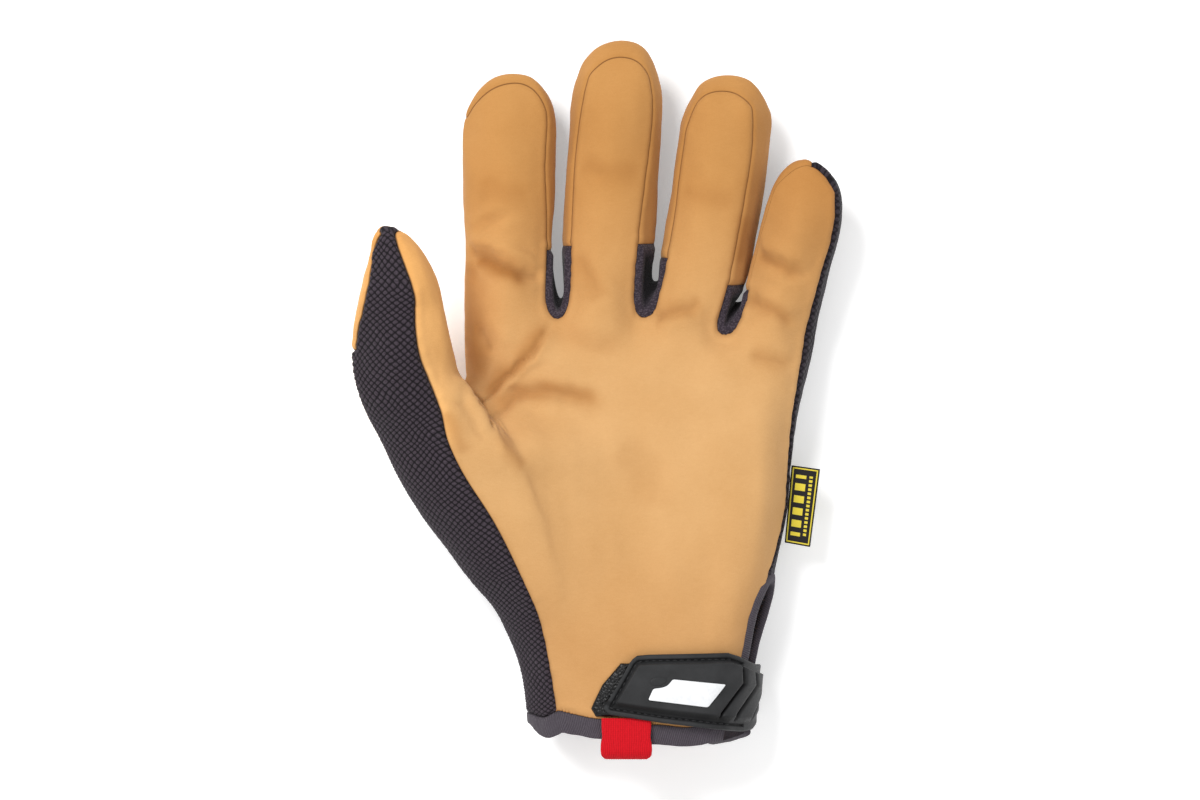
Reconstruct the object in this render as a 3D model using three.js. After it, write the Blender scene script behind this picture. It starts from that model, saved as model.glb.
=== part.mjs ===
import * as THREE from 'three';

// Mechanic's glove for the left hand, lying on its back with the palm up, empty and holding its worn shape.
// Millimetres. X runs to the little finger's side, Y to the fingertips, Z up out of the palm, floor at z 0.
// Every cloth or leather piece is one closed wall; all of them are cut from one skin of sections.

const wall = 1.5;
const halfGap = 0.17;
const bindingProud = 0.4;
const fitPasses = 7;

// Lower tube, cuff to thumb fork. left and right are the silhouette, seam the edge of the dark knit on
// the thumb side, web the column that becomes the thumb fork, sideSeam the edge of the leather on the
// little finger's side. zLeft and zRight are the heights of the sides, thenar, middle and heel the
// heights of the palm, lift the height of the back under the thumb.
const tubeRows = [
  { y: -118.3, left: -24.7, seam: -14.2, web: -8.8, sideSeam: 42.0, right: 50.6, zLeft: 20, zRight: 17, thenar: 38, middle: 41, heel: 36, lift: 2 },
  { y: -111.0, left: -25.8, seam: -15.9, web: -9.8, sideSeam: 43.4, right: 51.3, zLeft: 20, zRight: 17, thenar: 39, middle: 42, heel: 37, lift: 2 },
  { y: -93.0, left: -28.2, seam: -18.2, web: -11.2, sideSeam: 49.6, right: 52.4, zLeft: 22, zRight: 16, thenar: 41, middle: 43, heel: 38, lift: 3 },
  { y: -75.2, left: -36.0, seam: -22.2, web: -12.8, sideSeam: 52.8, right: 57.2, zLeft: 24, zRight: 15, thenar: 44, middle: 42, heel: 38, lift: 4 },
  { y: -63.5, left: -44.7, seam: -27.2, web: -15.6, sideSeam: 58.0, right: 60.0, zLeft: 26, zRight: 15, thenar: 47, middle: 40, heel: 38, lift: 6 },
  { y: -43.8, left: -60.0, seam: -36.8, web: -21.0, sideSeam: 63.3, right: 63.9, zLeft: 28, zRight: 16, thenar: 50, middle: 37, heel: 37, lift: 9 },
  { y: -28.0, left: -69.8, seam: -46.9, web: -27.0, sideSeam: 65.2, right: 65.8, zLeft: 31, zRight: 16, thenar: 52, middle: 35, heel: 36, lift: 12 },
  { y: -14.0, left: -76.8, seam: -53.6, web: -34.0, sideSeam: 66.1, right: 67.2, zLeft: 33, zRight: 16, thenar: 53, middle: 34, heel: 35, lift: 15 },
];
const ventTopRow = 4;
const forkRow = tubeRows.length - 1;

// Palm above the thumb fork, up to the fork of the fingers.
const palmRows = [
  { y: 0.5, yRight: 0.0, left: -46.7, front: -42.6, sideSeam: 67.5, right: 69.8, zLeft: 14, zRight: 16, indexSide: 29, middle: 33, heel: 34, lift: 1 },
  { y: 15.0, yRight: 12.5, left: -47.6, front: -45.6, sideSeam: 69.8, right: 72.8, zLeft: 13, zRight: 16, indexSide: 30, middle: 32, heel: 32, lift: 0 },
];

// Finger fork: the two points of each web on the palm, in the slit and on the back.
const webs = [
  { name: 'index_middle', frontA: [-19.2, 31.2], frontB: [-11.9, 31.2], slitA: [-15.4, 37.6], slitB: [-13.3, 37.6] },
  { name: 'middle_ring', frontA: [11.6, 30.6], frontB: [18.6, 31.2], slitA: [17.9, 42.6], slitB: [20.6, 42.6] },
  { name: 'ring_little', frontA: [40.2, 24.2], frontB: [46.6, 24.4], slitA: [46.9, 34.5], slitB: [49.0, 34.5] },
];
const webHeights = { front: 26, slit: 16, back: 5, backSet: 5 };
const forkLeft = { side: [-48.0, 33.2], front: [-46.4, 33.2], zSide: 14 };
const forkRight = { side: [75.1, 24.5], front: [71.6, 24.5], zSide: 16 };
const forkCrown = [30, 31, 30, 30];

// Digits. Each row is a section: the left and right silhouette and the two seams of the front, each at
// its own y; z is the height of the sides and deep the thickness.
const digits = {
  index: {
    rows: [
      { yl: 51.8, yr: 52.5, left: -47.6, right: -17.5, seamL: -45.6, seamR: -18.9, z: 14.5, deep: 27 },
      { yl: 67.2, yr: 67.2, left: -48.1, right: -16.6, seamL: -46.0, seamR: -19.2, z: 15.0, deep: 26.5 },
      { yl: 84.0, yr: 84.0, left: -48.5, right: -16.3, seamL: -46.2, seamR: -19.4, z: 16.5, deep: 26 },
      { yl: 98.7, yr: 99.4, left: -47.4, right: -16.1, seamL: -44.6, seamR: -18.9, z: 18.5, deep: 24 },
    ],
    tip: { left: [-38.2, 112.0], right: [-23.1, 112.9], frontL: [-38.3, 108.8], frontR: [-24.5, 111.5], z: 20.5, rise: 6 },
  },
  middle: {
    rows: [
      { yl: 53.9, yr: 54.6, left: -13.8, right: 18.4, seamL: -10.8, seamR: 12.9, z: 15.0, deep: 28 },
      { yl: 77.0, yr: 77.0, left: -12.4, right: 19.6, seamL: -9.9, seamR: 15.4, z: 16.2, deep: 27 },
      { yl: 100.8, yr: 100.8, left: -10.7, right: 21.2, seamL: -7.5, seamR: 18.2, z: 19.0, deep: 26 },
      { yl: 112.7, yr: 113.4, left: -8.4, right: 19.8, seamL: -4.6, seamR: 16.6, z: 21.0, deep: 21.5 },
    ],
    tip: { left: [-1.0, 123.8], right: [13.8, 124.0], frontL: [1.6, 118.9], frontR: [11.5, 118.9], z: 22.5, rise: 6 },
  },
  ring: {
    rows: [
      { yl: 49.7, yr: 40.2, left: 20.5, right: 49.6, seamL: 22.9, seamR: 44.3, z: 15.5, deep: 26.5 },
      { yl: 73.0, yr: 67.0, left: 23.8, right: 55.6, seamL: 25.9, seamR: 49.5, z: 16.8, deep: 26.3 },
      { yl: 95.2, yr: 92.4, left: 27.5, right: 58.8, seamL: 29.6, seamR: 53.2, z: 19.5, deep: 25 },
      { yl: 104.6, yr: 102.5, left: 31.0, right: 57.9, seamL: 33.6, seamR: 52.6, z: 21.0, deep: 20.5 },
    ],
    tip: { left: [37.3, 112.4], right: [51.3, 112.3], frontL: [38.6, 107.6], frontR: [46.6, 107.3], z: 22.5, rise: 6 },
  },
  little: {
    rows: [
      { yl: 38.5, yr: 35.0, left: 50.6, right: 77.2, seamL: 51.4, seamR: 74.4, z: 18.5, deep: 25 },
      { yl: 51.1, yr: 48.3, left: 53.4, right: 80.7, seamL: 54.2, seamR: 78.2, z: 20.5, deep: 24 },
      { yl: 63.0, yr: 60.9, left: 56.4, right: 83.8, seamL: 57.2, seamR: 81.4, z: 23.0, deep: 23 },
      { yl: 73.5, yr: 72.4, left: 59.6, right: 83.5, seamL: 60.5, seamR: 81.4, z: 25.0, deep: 19 },
    ],
    tip: { left: [67.0, 82.6], right: [78.6, 80.1], frontL: [68.8, 81.5], frontR: [77.2, 79.4], z: 26.5, rise: 5 },
  },
  thumb: {
    rows: [
      { yl: -8.4, yf: -2.8, yr: 6.3, left: -79.6, right: -49.4, seamL: -77.6, knit: -55.8, seamR: -41.8, z: 34, deep: 38, zEdge: 46, zRight: 30 },
      { yl: 2.8, yf: 7.7, yr: 12.0, left: -84.0, right: -50.4, seamL: -82.9, knit: -59.7, seamR: -50.9, z: 41, deep: 33, zRight: 39 },
      { yl: 17.5, yf: 19.3, yr: 19.3, left: -85.9, right: -52.3, seamL: -85.5, knit: -63.9, seamR: -54.4, z: 47, deep: 31, zRight: 47 },
      { yl: 30.8, yf: 32.2, yr: 32.2, left: -85.2, right: -55.1, seamL: -83.3, knit: -64.6, seamR: -57.2, z: 51, deep: 29, zRight: 51 },
      { yl: 42.0, yf: 40.6, yr: 40.6, left: -82.9, right: -56.9, seamL: -80.9, knit: -66.0, seamR: -59.9, z: 54, deep: 26, zRight: 54 },
      { yl: 50.4, yf: 50.0, yr: 50.0, left: -80.8, right: -61.3, seamL: -78.5, knit: -68.8, seamR: -64.4, z: 56, deep: 19, zRight: 56 },
    ],
    tip: { left: [-77.9, 58.2], right: [-69.0, 58.4], frontL: [-74.4, 57.4], frontR: [-69.2, 54.2], z: 57, rise: 5 },
  },
};

// Closure strap, in palm view: its slanted left end by share of its height, its upper and lower edge,
// then the edges on the side and the angle at which it ends on the back.
const strap = {
  leftEdge: [[0, 11.0], [0.12, 8.2], [0.5, 4.6], [0.82, 0.4], [0.93, 0.0], [1, 3.0]],
  upper: [[11.0, -88.9], [45.0, -87.8], [49.5, -89.0]],
  lower: [[0.0, -109.6], [7.5, -110.9], [26.0, -113.2], [49.5, -115.9]],
  turn: 49.5, sideUpper: -92.0, sideLower: -111.5, endAngle: 109, thick: 3.2, liftLeft: 2.5, liftRight: 1.8,
};
const hook = { leftEdge: [[0, 6.5], [0.4, 0.0], [0.85, -4.4], [1, -2.6]], upper: -91.8, lower: -110.4, right: 34, low: 0.4, high: 2.1 };
const patch = { topLeft: [22.4, -97.4], topRight: [43.2, -98.9], bottomRight: [36.8, -107.1], bottomLeft: [16.0, -104.6], thick: 0.6 };
const pull = { left: 0.0, right: 17.3, start: -110.9, end: -124.5, thick: 1.5 };
const label = { corners: [[66.5, -22.8], [76.5, -24.2], [73.0, -51.5], [64.1, -49.9]], z: 16.5, thick: 1.0 };
const ventTape = { wide: 3.3, deep: 2.3, setBack: 2.0 };

// The skin

const points = [];
const faces = [];

function addPoint(x, y, z) {
  points.push(new THREE.Vector3(x, y, Math.max(z, 0)));
  return points.length - 1;
}

function addFace(a, b, c, d, piece) {
  faces.push({ corners: [a, b, c, d], piece });
}

function roundedEdge(distance, radius) {
  if (distance >= radius) return 1;
  const t = 1 - Math.max(distance, 0) / radius;
  return Math.sqrt(Math.max(1 - t * t, 0));
}

function smooth(t) {
  const c = Math.min(Math.max(t, 0), 1);
  return c * c * (3 - 2 * c);
}

function crown(x, knots) {
  if (x <= knots[0][0]) return knots[0][1];
  for (let i = 1; i < knots.length; i += 1) {
    if (x <= knots[i][0]) {
      const t = (x - knots[i - 1][0]) / (knots[i][0] - knots[i - 1][0]);
      return THREE.MathUtils.lerp(knots[i - 1][1], knots[i][1], smooth(t));
    }
  }
  return knots[knots.length - 1][1];
}

// Share of the way from the thumb fork's column to the side seam for each palm column: three columns to
// a finger and one to a web.
const forkShare = (() => {
  const edges = [-46.4, -19.2, -11.9, 11.6, 18.6, 40.2, 46.6, 71.6];
  const xs = [];
  for (let finger = 0; finger < 4; finger += 1) {
    for (let i = 0; i < 4; i += 1) {
      xs.push(THREE.MathUtils.lerp(edges[2 * finger], edges[2 * finger + 1], i / 3));
    }
  }
  return xs.map((x) => (x - xs[0]) / (xs[15] - xs[0]));
})();

function sideHeight(x, z, side, left, right, knots, lift, top, edgeL, edgeR) {
  const reach = Math.min(roundedEdge(x - left, edgeL), roundedEdge(right - x, edgeR));
  if (top) return side + (crown(x, knots) - side) * reach;
  const floor = lift * smooth((left + 46 - x) / 46);
  return side - (side - floor) * reach;
}

const backCuff = [[-24.7, -114.4], [-10, -116.4], [20, -118.4], [42, -120.6], [52, -120.8]];

function cuffLine(x, row) {
  // The cuff's end and the upper edge of its tape wave a little.
  const wave = row === 0
    ? [[-24.7, -112.7], [-21.9, -116.6], [-18.4, -118.0], [-14.2, -116.3], [0, -118.0], [18, -120.0], [30, -120.8], [42, -118.7], [52, -117.6]]
    : [[-25.2, -109.6], [-22.6, -110.3], [-19.4, -111.0], [-15.9, -108.7], [0, -111.3], [18, -113.2], [30, -114.2], [43.6, -113.0], [53, -111.5]];
  return crown(x, wave);
}

const tubeRings = tubeRows.map((row, index) => {
  const ring = { F: [], B: [] };
  const xs = [];
  xs.push(row.left + 0.14 * (row.seam - row.left));
  xs.push(row.left + 0.56 * (row.seam - row.left));
  xs.push(row.seam);
  const webHalf = 2.6;
  xs.push(row.web - webHalf);
  const mix = smooth((row.y + 70) / 60);
  for (let i = 0; i < 16; i += 1) {
    const share = THREE.MathUtils.lerp(i / 15, forkShare[i], mix);
    xs.push(THREE.MathUtils.lerp(row.web + webHalf, row.sideSeam, share));
  }
  const thenarAt = 0.5 * (row.seam + row.web);
  const shoulder = THREE.MathUtils.lerp(row.middle, row.thenar, 0.4);
  const knots = [[thenarAt, row.thenar], [row.web + 10, shoulder], [14, row.middle], [48, row.heel]];
  xs.forEach((x, i) => {
    let z = THREE.MathUtils.lerp(row.zLeft, row.zRight, smooth((x - row.left) / (row.right - row.left)));
    const side = z;
    z = sideHeight(x, z, side, row.left, row.right, knots, 0, true, 24, 17);
    let y = row.y;
    if (index < 2) y = cuffLine(x, index);
    if (index === forkRow && i === 3) z = 49;
    if (index === forkRow && i === 4) z = 42.5;
    ring.F.push(addPoint(x, y, z));
  });
  ring.R = addPoint(row.right, index < 2 ? cuffLine(row.right, index) : row.y, row.zRight);
  xs.forEach((x, i) => {
    const bx = i < 3 ? row.left + (x - row.left) * 1.15 + 0.6 : x;
    const backX = i > 16 ? x - (i - 16) * 0.5 : bx;
    const side = THREE.MathUtils.lerp(row.zLeft, row.zRight, smooth((x - row.left) / (row.right - row.left)));
    const cuffFloor = index < 2 ? 1.0 : 0;
    const z = Math.max(sideHeight(backX, side, side, row.left, row.right, knots, row.lift, false, 22, 18), cuffFloor);
    let y = row.y;
    if (index < 2) y = crown(x, backCuff) + (index === 0 ? 0 : 6.6);
    ring.B.push(addPoint(backX, y, z));
  });
  ring.L = addPoint(row.left, index < 2 ? cuffLine(row.left, index) : row.y, row.zLeft);
  return ring;
});

// The thumb fork: two points deep in the web.
const thumbWeb = { thumbSide: addPoint(-47.4, 3.6, 25), palmSide: addPoint(-45.6, 3.2, 21) };

const upperRings = palmRows.map((row) => {
  const ring = { F: [], B: [] };
  const knots = [[-38, row.indexSide - 1], [-20, row.indexSide + 2], [12, row.middle], [48, row.heel]];
  const left = row.left;
  const xs = forkShare.map((share) => THREE.MathUtils.lerp(row.front, row.sideSeam, share));
  const yAt = (x) => THREE.MathUtils.lerp(row.y, row.yRight, (x - left) / (row.right - left));
  const sideAt = (x) => THREE.MathUtils.lerp(row.zLeft, row.zRight, smooth((x - left) / (row.right - left)));
  xs.forEach((x) => ring.F.push(addPoint(x, yAt(x), sideHeight(x, 0, sideAt(x), left, row.right, knots, 0, true, 15, 17))));
  ring.R = addPoint(row.right, yAt(row.right), row.zRight);
  xs.forEach((x, i) => {
    const bx = i === 0 ? x + 0.6 : x;
    ring.B.push(addPoint(bx, yAt(x), sideHeight(bx, 0, sideAt(x), left, row.right, knots, row.lift, false, 14, 16)));
  });
  ring.L = addPoint(left, yAt(left), row.zLeft);
  return ring;
});

// The finger fork: one ring for each finger, neighbours sharing the web between them by two points.
const forkRing = { F: [], B: [] };
const slits = webs.map((web) => [addPoint(web.slitA[0], web.slitA[1], webHeights.slit), addPoint(web.slitB[0], web.slitB[1], webHeights.slit)]);
forkRing.L = addPoint(forkLeft.side[0], forkLeft.side[1], forkLeft.zSide);
forkRing.R = addPoint(forkRight.side[0], forkRight.side[1], forkRight.zSide);
for (let finger = 0; finger < 4; finger += 1) {
  const a = finger === 0 ? forkLeft.front : webs[finger - 1].frontB;
  const b = finger === 3 ? forkRight.front : webs[finger].frontA;
  const zA = finger === 0 ? 21 : webHeights.front;
  const zB = finger === 3 ? 23 : webHeights.front;
  for (let i = 0; i < 4; i += 1) {
    const t = i / 3;
    const x = THREE.MathUtils.lerp(a[0], b[0], t);
    const y = THREE.MathUtils.lerp(a[1], b[1], t);
    const z = i === 0 ? zA : (i === 3 ? zB : forkCrown[finger]);
    forkRing.F.push(addPoint(x, y + (i === 1 || i === 2 ? 1.0 : 0), z));
    const backZ = i === 1 || i === 2 ? 0.2 : (finger === 0 && i === 0) || (finger === 3 && i === 3) ? 6 : webHeights.back;
    forkRing.B.push(addPoint(x, y + (i === 1 || i === 2 ? 0 : webHeights.backSet - 2), backZ));
  }
}

function joinRings(lower, upper, from, pieceOf) {
  const count = lower.F.length;
  for (let i = 0; i < count - 1; i += 1) {
    addFace(lower.F[i], lower.F[i + 1], upper.F[i + 1], upper.F[i], pieceOf('front', i + from));
    addFace(lower.B[i + 1], lower.B[i], upper.B[i], upper.B[i + 1], pieceOf('back', i + from));
  }
  const last = count - 1;
  addFace(lower.F[last], lower.R, upper.R, upper.F[last], pieceOf('rightFront'));
  addFace(lower.R, lower.B[last], upper.B[last], upper.R, pieceOf('rightBack'));
  addFace(lower.B[0], lower.L, upper.L, upper.B[0], pieceOf('leftBack'));
  addFace(lower.L, lower.F[0], upper.F[0], upper.L, pieceOf('leftFront'));
}

for (let r = 0; r < tubeRings.length - 1; r += 1) {
  joinRings(tubeRings[r], tubeRings[r + 1], 0, (part, column) => {
    if (part === 'rightFront' && r < ventTopRow) return 'vent_open';
    if (r === 0) return 'cuff_binding';
    if (part === 'front') return column < 2 ? 'thumb_back_panel' : 'palm_panel';
    if (part === 'leftFront' || part === 'leftBack') return 'thumb_back_panel';
    return 'hand_back_panel';
  });
}

const fork = tubeRings[tubeRings.length - 1];
const palmBase = { F: fork.F.slice(4), B: fork.B.slice(4), R: fork.R, L: thumbWeb.palmSide };
const palmPiece = (part) => (part === 'front' || part === 'leftFront' || part === 'leftBack' ? 'palm_panel' : 'hand_back_panel');
joinRings(palmBase, upperRings[0], 4, palmPiece);
joinRings(upperRings[0], upperRings[1], 4, palmPiece);
joinRings(upperRings[1], forkRing, 4, palmPiece);

// The web between thumb and palm, and the webs between the fingers.
addFace(fork.F[3], fork.F[4], thumbWeb.palmSide, thumbWeb.thumbSide, 'palm_panel');
addFace(thumbWeb.thumbSide, thumbWeb.palmSide, fork.B[4], fork.B[3], 'palm_panel');
webs.forEach((web, i) => {
  const a = 4 * i + 3;
  const piece = `${web.name}_gusset`;
  addFace(forkRing.F[a], forkRing.F[a + 1], slits[i][1], slits[i][0], piece);
  addFace(slits[i][0], slits[i][1], forkRing.B[a + 1], forkRing.B[a], piece);
});

function buildDigit(spec, base, pieceOf) {
  let lower = base;
  const last = spec.rows.length - 1;
  spec.rows.forEach((row, r) => {
    const ring = { F: [], B: [] };
    const half = 0.5 * (row.right - row.left);
    const knit = row.knit ?? THREE.MathUtils.lerp(row.seamL, row.seamR, 2 / 3);
    const xs = [row.seamL, 0.5 * (row.seamL + knit), knit, row.seamR];
    const yFront = row.yf ?? row.yr;
    for (let i = 0; i < 4; i += 1) {
      let x = xs[i];
      let y = THREE.MathUtils.lerp(row.yl, yFront, smooth((x - xs[0]) / (xs[3] - xs[0])));
      const far = Math.min(x - row.left, Math.max(row.right, row.seamR + 1) - x);
      let z = row.z + 0.5 * row.deep * roundedEdge(far, half);
      if (r === last && i === 1) [x, y] = spec.tip.frontL;
      if (r === last && i === 2) [x, y] = spec.tip.frontR;
      if (r === last && (i === 1 || i === 2)) z = spec.tip.z + spec.tip.rise;
      if (i === 3 && row.zEdge) z = row.zEdge;
      ring.F.push(addPoint(x, y, z));
    }
    ring.R = addPoint(row.right, row.yr, row.zRight ?? row.z);
    for (let i = 0; i < 4; i += 1) {
      let x = THREE.MathUtils.lerp(row.left + 0.12 * half, row.right - 0.12 * half, i / 3);
      let y = THREE.MathUtils.lerp(row.yl, row.yr, i / 3);
      let z = row.z - 0.5 * row.deep * roundedEdge(Math.min(x - row.left, row.right - x), half);
      if (r === last && i === 1) [x, y] = spec.tip.frontL;
      if (r === last && i === 2) [x, y] = spec.tip.frontR;
      if (r === last && (i === 1 || i === 2)) z = spec.tip.z - spec.tip.rise;
      ring.B.push(addPoint(x, y, z));
    }
    ring.L = addPoint(row.left, row.yl, row.z);
    joinRings(lower, ring, 0, (part, column) => pieceOf(part, column, r));
    lower = ring;
  });
  const m1 = addPoint(spec.tip.left[0], spec.tip.left[1], spec.tip.z);
  const m2 = addPoint(spec.tip.right[0], spec.tip.right[1], spec.tip.z);
  const mid = [lower.L, m1, m2, lower.R];
  for (let i = 0; i < 3; i += 1) {
    addFace(lower.F[i], lower.F[i + 1], mid[i + 1], mid[i], pieceOf('tipFront', i, last + 1));
    addFace(mid[i], mid[i + 1], lower.B[i + 1], lower.B[i], pieceOf('tipBack', i, last + 1));
  }
}

function fingerBase(finger) {
  const a = 4 * finger;
  return {
    F: forkRing.F.slice(a, a + 4),
    B: forkRing.B.slice(a, a + 4),
    L: finger === 0 ? forkRing.L : slits[finger - 1][1],
    R: finger === 3 ? forkRing.R : slits[finger][0],
  };
}

buildDigit(digits.index, fingerBase(0), (part, column, r) => {
  if (part === 'front' || part === 'leftFront' || part === 'leftBack') return 'palm_panel';
  if (part === 'back') return 'hand_back_panel';
  if (r === 0) return 'index_middle_gusset';
  return 'index_side_strip';
});
buildDigit(digits.middle, fingerBase(1), (part, column, r) => {
  if (part === 'front') return 'palm_panel';
  if (part === 'back') return 'hand_back_panel';
  if (r === 0) return part.startsWith('left') ? 'index_middle_gusset' : 'middle_ring_gusset';
  return 'middle_side_strip';
});
buildDigit(digits.ring, fingerBase(2), (part, column, r) => {
  if (part === 'front') return 'palm_panel';
  if (part === 'back') return 'hand_back_panel';
  if (r === 0) return part.startsWith('left') ? 'middle_ring_gusset' : 'ring_little_gusset';
  return 'ring_side_strip';
});
buildDigit(digits.little, fingerBase(3), (part, column, r) => {
  if (part === 'front') return 'palm_panel';
  if (part === 'back' || part.startsWith('right')) return 'hand_back_panel';
  if (part.startsWith('tip')) return column === 0 ? 'little_side_strip' : 'hand_back_panel';
  if (r === 0) return 'ring_little_gusset';
  return 'little_side_strip';
});
buildDigit(digits.thumb, { F: fork.F.slice(0, 4), B: fork.B.slice(0, 4), L: fork.L, R: thumbWeb.thumbSide }, (part, column, r) => {
  if (part === 'front') return column < 2 ? 'thumb_back_panel' : 'palm_panel';
  if (part.startsWith('left') && r < 3) return 'thumb_back_panel';
  return 'palm_panel';
});

// Catmull-Clark rules. The cage is moved until its smooth surface passes through the section points.

function edgeKey(a, b) {
  return a < b ? `${a},${b}` : `${b},${a}`;
}

function neighbours(list, count) {
  const around = Array.from({ length: count }, () => ({ edges: new Set(), opposite: [], border: [] }));
  const uses = new Map();
  list.forEach((face) => {
    const c = face.corners;
    for (let i = 0; i < 4; i += 1) {
      const a = c[i];
      const b = c[(i + 1) % 4];
      around[a].edges.add(b);
      around[b].edges.add(a);
      around[a].opposite.push(c[(i + 2) % 4]);
      const key = edgeKey(a, b);
      uses.set(key, (uses.get(key) ?? 0) + 1);
    }
  });
  uses.forEach((used, key) => {
    if (used !== 1) return;
    const [a, b] = key.split(',').map(Number);
    around[a].border.push(b);
    around[b].border.push(a);
  });
  return around;
}

function limitPoint(index, cage, around) {
  const info = around[index];
  const out = new THREE.Vector3();
  if (info.border.length === 2) {
    out.copy(cage[index]).multiplyScalar(4);
    info.border.forEach((n) => out.add(cage[n]));
    return out.multiplyScalar(1 / 6);
  }
  const n = info.edges.size;
  out.copy(cage[index]).multiplyScalar(n * n);
  info.edges.forEach((e) => out.addScaledVector(cage[e], 4));
  info.opposite.forEach((o) => out.add(cage[o]));
  return out.multiplyScalar(1 / (n * (n + 5)));
}

const skinFaces = faces.filter((face) => face.piece !== 'vent_open');

function fitCage(targets, list) {
  const around = neighbours(list, targets.length);
  const cage = targets.map((p) => p.clone());
  for (let pass = 0; pass < fitPasses; pass += 1) {
    const reached = cage.map((p, i) => limitPoint(i, cage, around));
    cage.forEach((p, i) => {
      p.add(targets[i]).sub(reached[i]);
      p.z = Math.max(p.z, 0);
    });
  }
  return cage;
}

function subdivide(cage, list) {
  const around = neighbours(list, cage.length);
  const next = cage.map(() => null);
  const facePoint = list.map((face) => {
    const mid = new THREE.Vector3();
    face.corners.forEach((c) => mid.add(cage[c]));
    return mid.multiplyScalar(0.25);
  });
  const edges = new Map();
  list.forEach((face, f) => {
    for (let i = 0; i < 4; i += 1) {
      const a = face.corners[i];
      const b = face.corners[(i + 1) % 4];
      const key = edgeKey(a, b);
      if (!edges.has(key)) edges.set(key, { a, b, faces: [] });
      edges.get(key).faces.push(f);
    }
  });
  const touching = cage.map(() => []);
  list.forEach((face, f) => face.corners.forEach((c) => touching[c].push(f)));
  cage.forEach((p, i) => {
    const info = around[i];
    if (info.border.length === 2) {
      next[i] = p.clone().multiplyScalar(6).add(cage[info.border[0]]).add(cage[info.border[1]]).multiplyScalar(1 / 8);
      return;
    }
    const n = info.edges.size;
    const faceMean = new THREE.Vector3();
    touching[i].forEach((f) => faceMean.add(facePoint[f]));
    faceMean.multiplyScalar(1 / n);
    const edgeMean = new THREE.Vector3();
    info.edges.forEach((e) => edgeMean.add(cage[e]).add(p));
    edgeMean.multiplyScalar(0.5 / n);
    next[i] = faceMean.addScaledVector(edgeMean, 2).addScaledVector(p, n - 3).multiplyScalar(1 / n);
  });
  const faceIndex = facePoint.map((p) => next.push(p) - 1);
  const edgeIndex = new Map();
  edges.forEach((edge, key) => {
    const mid = cage[edge.a].clone().add(cage[edge.b]);
    if (edge.faces.length === 2) mid.add(facePoint[edge.faces[0]]).add(facePoint[edge.faces[1]]).multiplyScalar(0.25);
    else mid.multiplyScalar(0.5);
    edgeIndex.set(key, next.push(mid) - 1);
  });
  const out = [];
  list.forEach((face, f) => {
    const c = face.corners;
    for (let i = 0; i < 4; i += 1) {
      const before = edgeIndex.get(edgeKey(c[(i + 3) % 4], c[i]));
      const after = edgeIndex.get(edgeKey(c[i], c[(i + 1) % 4]));
      out.push({ corners: [c[i], after, faceIndex[f], before], piece: face.piece, parent: f });
    }
  });
  return { cage: next, list: out };
}

const cage = fitCage(points, skinFaces);
const fine = subdivide(cage, skinFaces);
const fineAround = neighbours(fine.list, fine.cage.length);
const surface = fine.cage.map((p, i) => (fineAround[i].edges.size ? limitPoint(i, fine.cage, fineAround) : p.clone()));
const normals = surface.map(() => new THREE.Vector3());
fine.list.forEach((face) => {
  const [a, b, c, d] = face.corners.map((i) => surface[i]);
  const n = c.clone().sub(a).cross(d.clone().sub(b));
  face.corners.forEach((i) => normals[i].add(n));
});
normals.forEach((n) => n.normalize());

// Walls

const looks = {
  leather: { color: 0xd7a066, roughness: 0.6, metalness: 0 },
  knit: { color: 0x38323a, roughness: 0.9, metalness: 0 },
  stretch: { color: 0x4a414c, roughness: 0.8, metalness: 0 },
  tape: { color: 0x564e5a, roughness: 0.8, metalness: 0 },
  rubber: { color: 0x404244, roughness: 0.5, metalness: 0 },
  hook: { color: 0x1a191c, roughness: 0.8, metalness: 0 },
  white: { color: 0xf0f0f0, roughness: 0.4, metalness: 0 },
  red: { color: 0xd8202c, roughness: 0.8, metalness: 0 },
  label: { color: 0x1c1b1e, roughness: 0.7, metalness: 0 },
};

const glove = new THREE.Group();

function addMesh(name, look, corners, triangles) {
  const kept = new Map();
  triangles.forEach((v) => {
    if (!kept.has(v)) kept.set(v, kept.size);
  });
  const flatList = new Float32Array(kept.size * 3);
  kept.forEach((place, v) => flatList.set([corners[v].x, corners[v].y, corners[v].z], 3 * place));
  const geometry = new THREE.BufferGeometry();
  geometry.setAttribute('position', new THREE.BufferAttribute(flatList, 3));
  geometry.setIndex(triangles.map((v) => kept.get(v)));
  geometry.computeVertexNormals();
  const mesh = new THREE.Mesh(geometry, new THREE.MeshStandardMaterial(looks[look]));
  mesh.name = name;
  glove.add(mesh);
}

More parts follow.
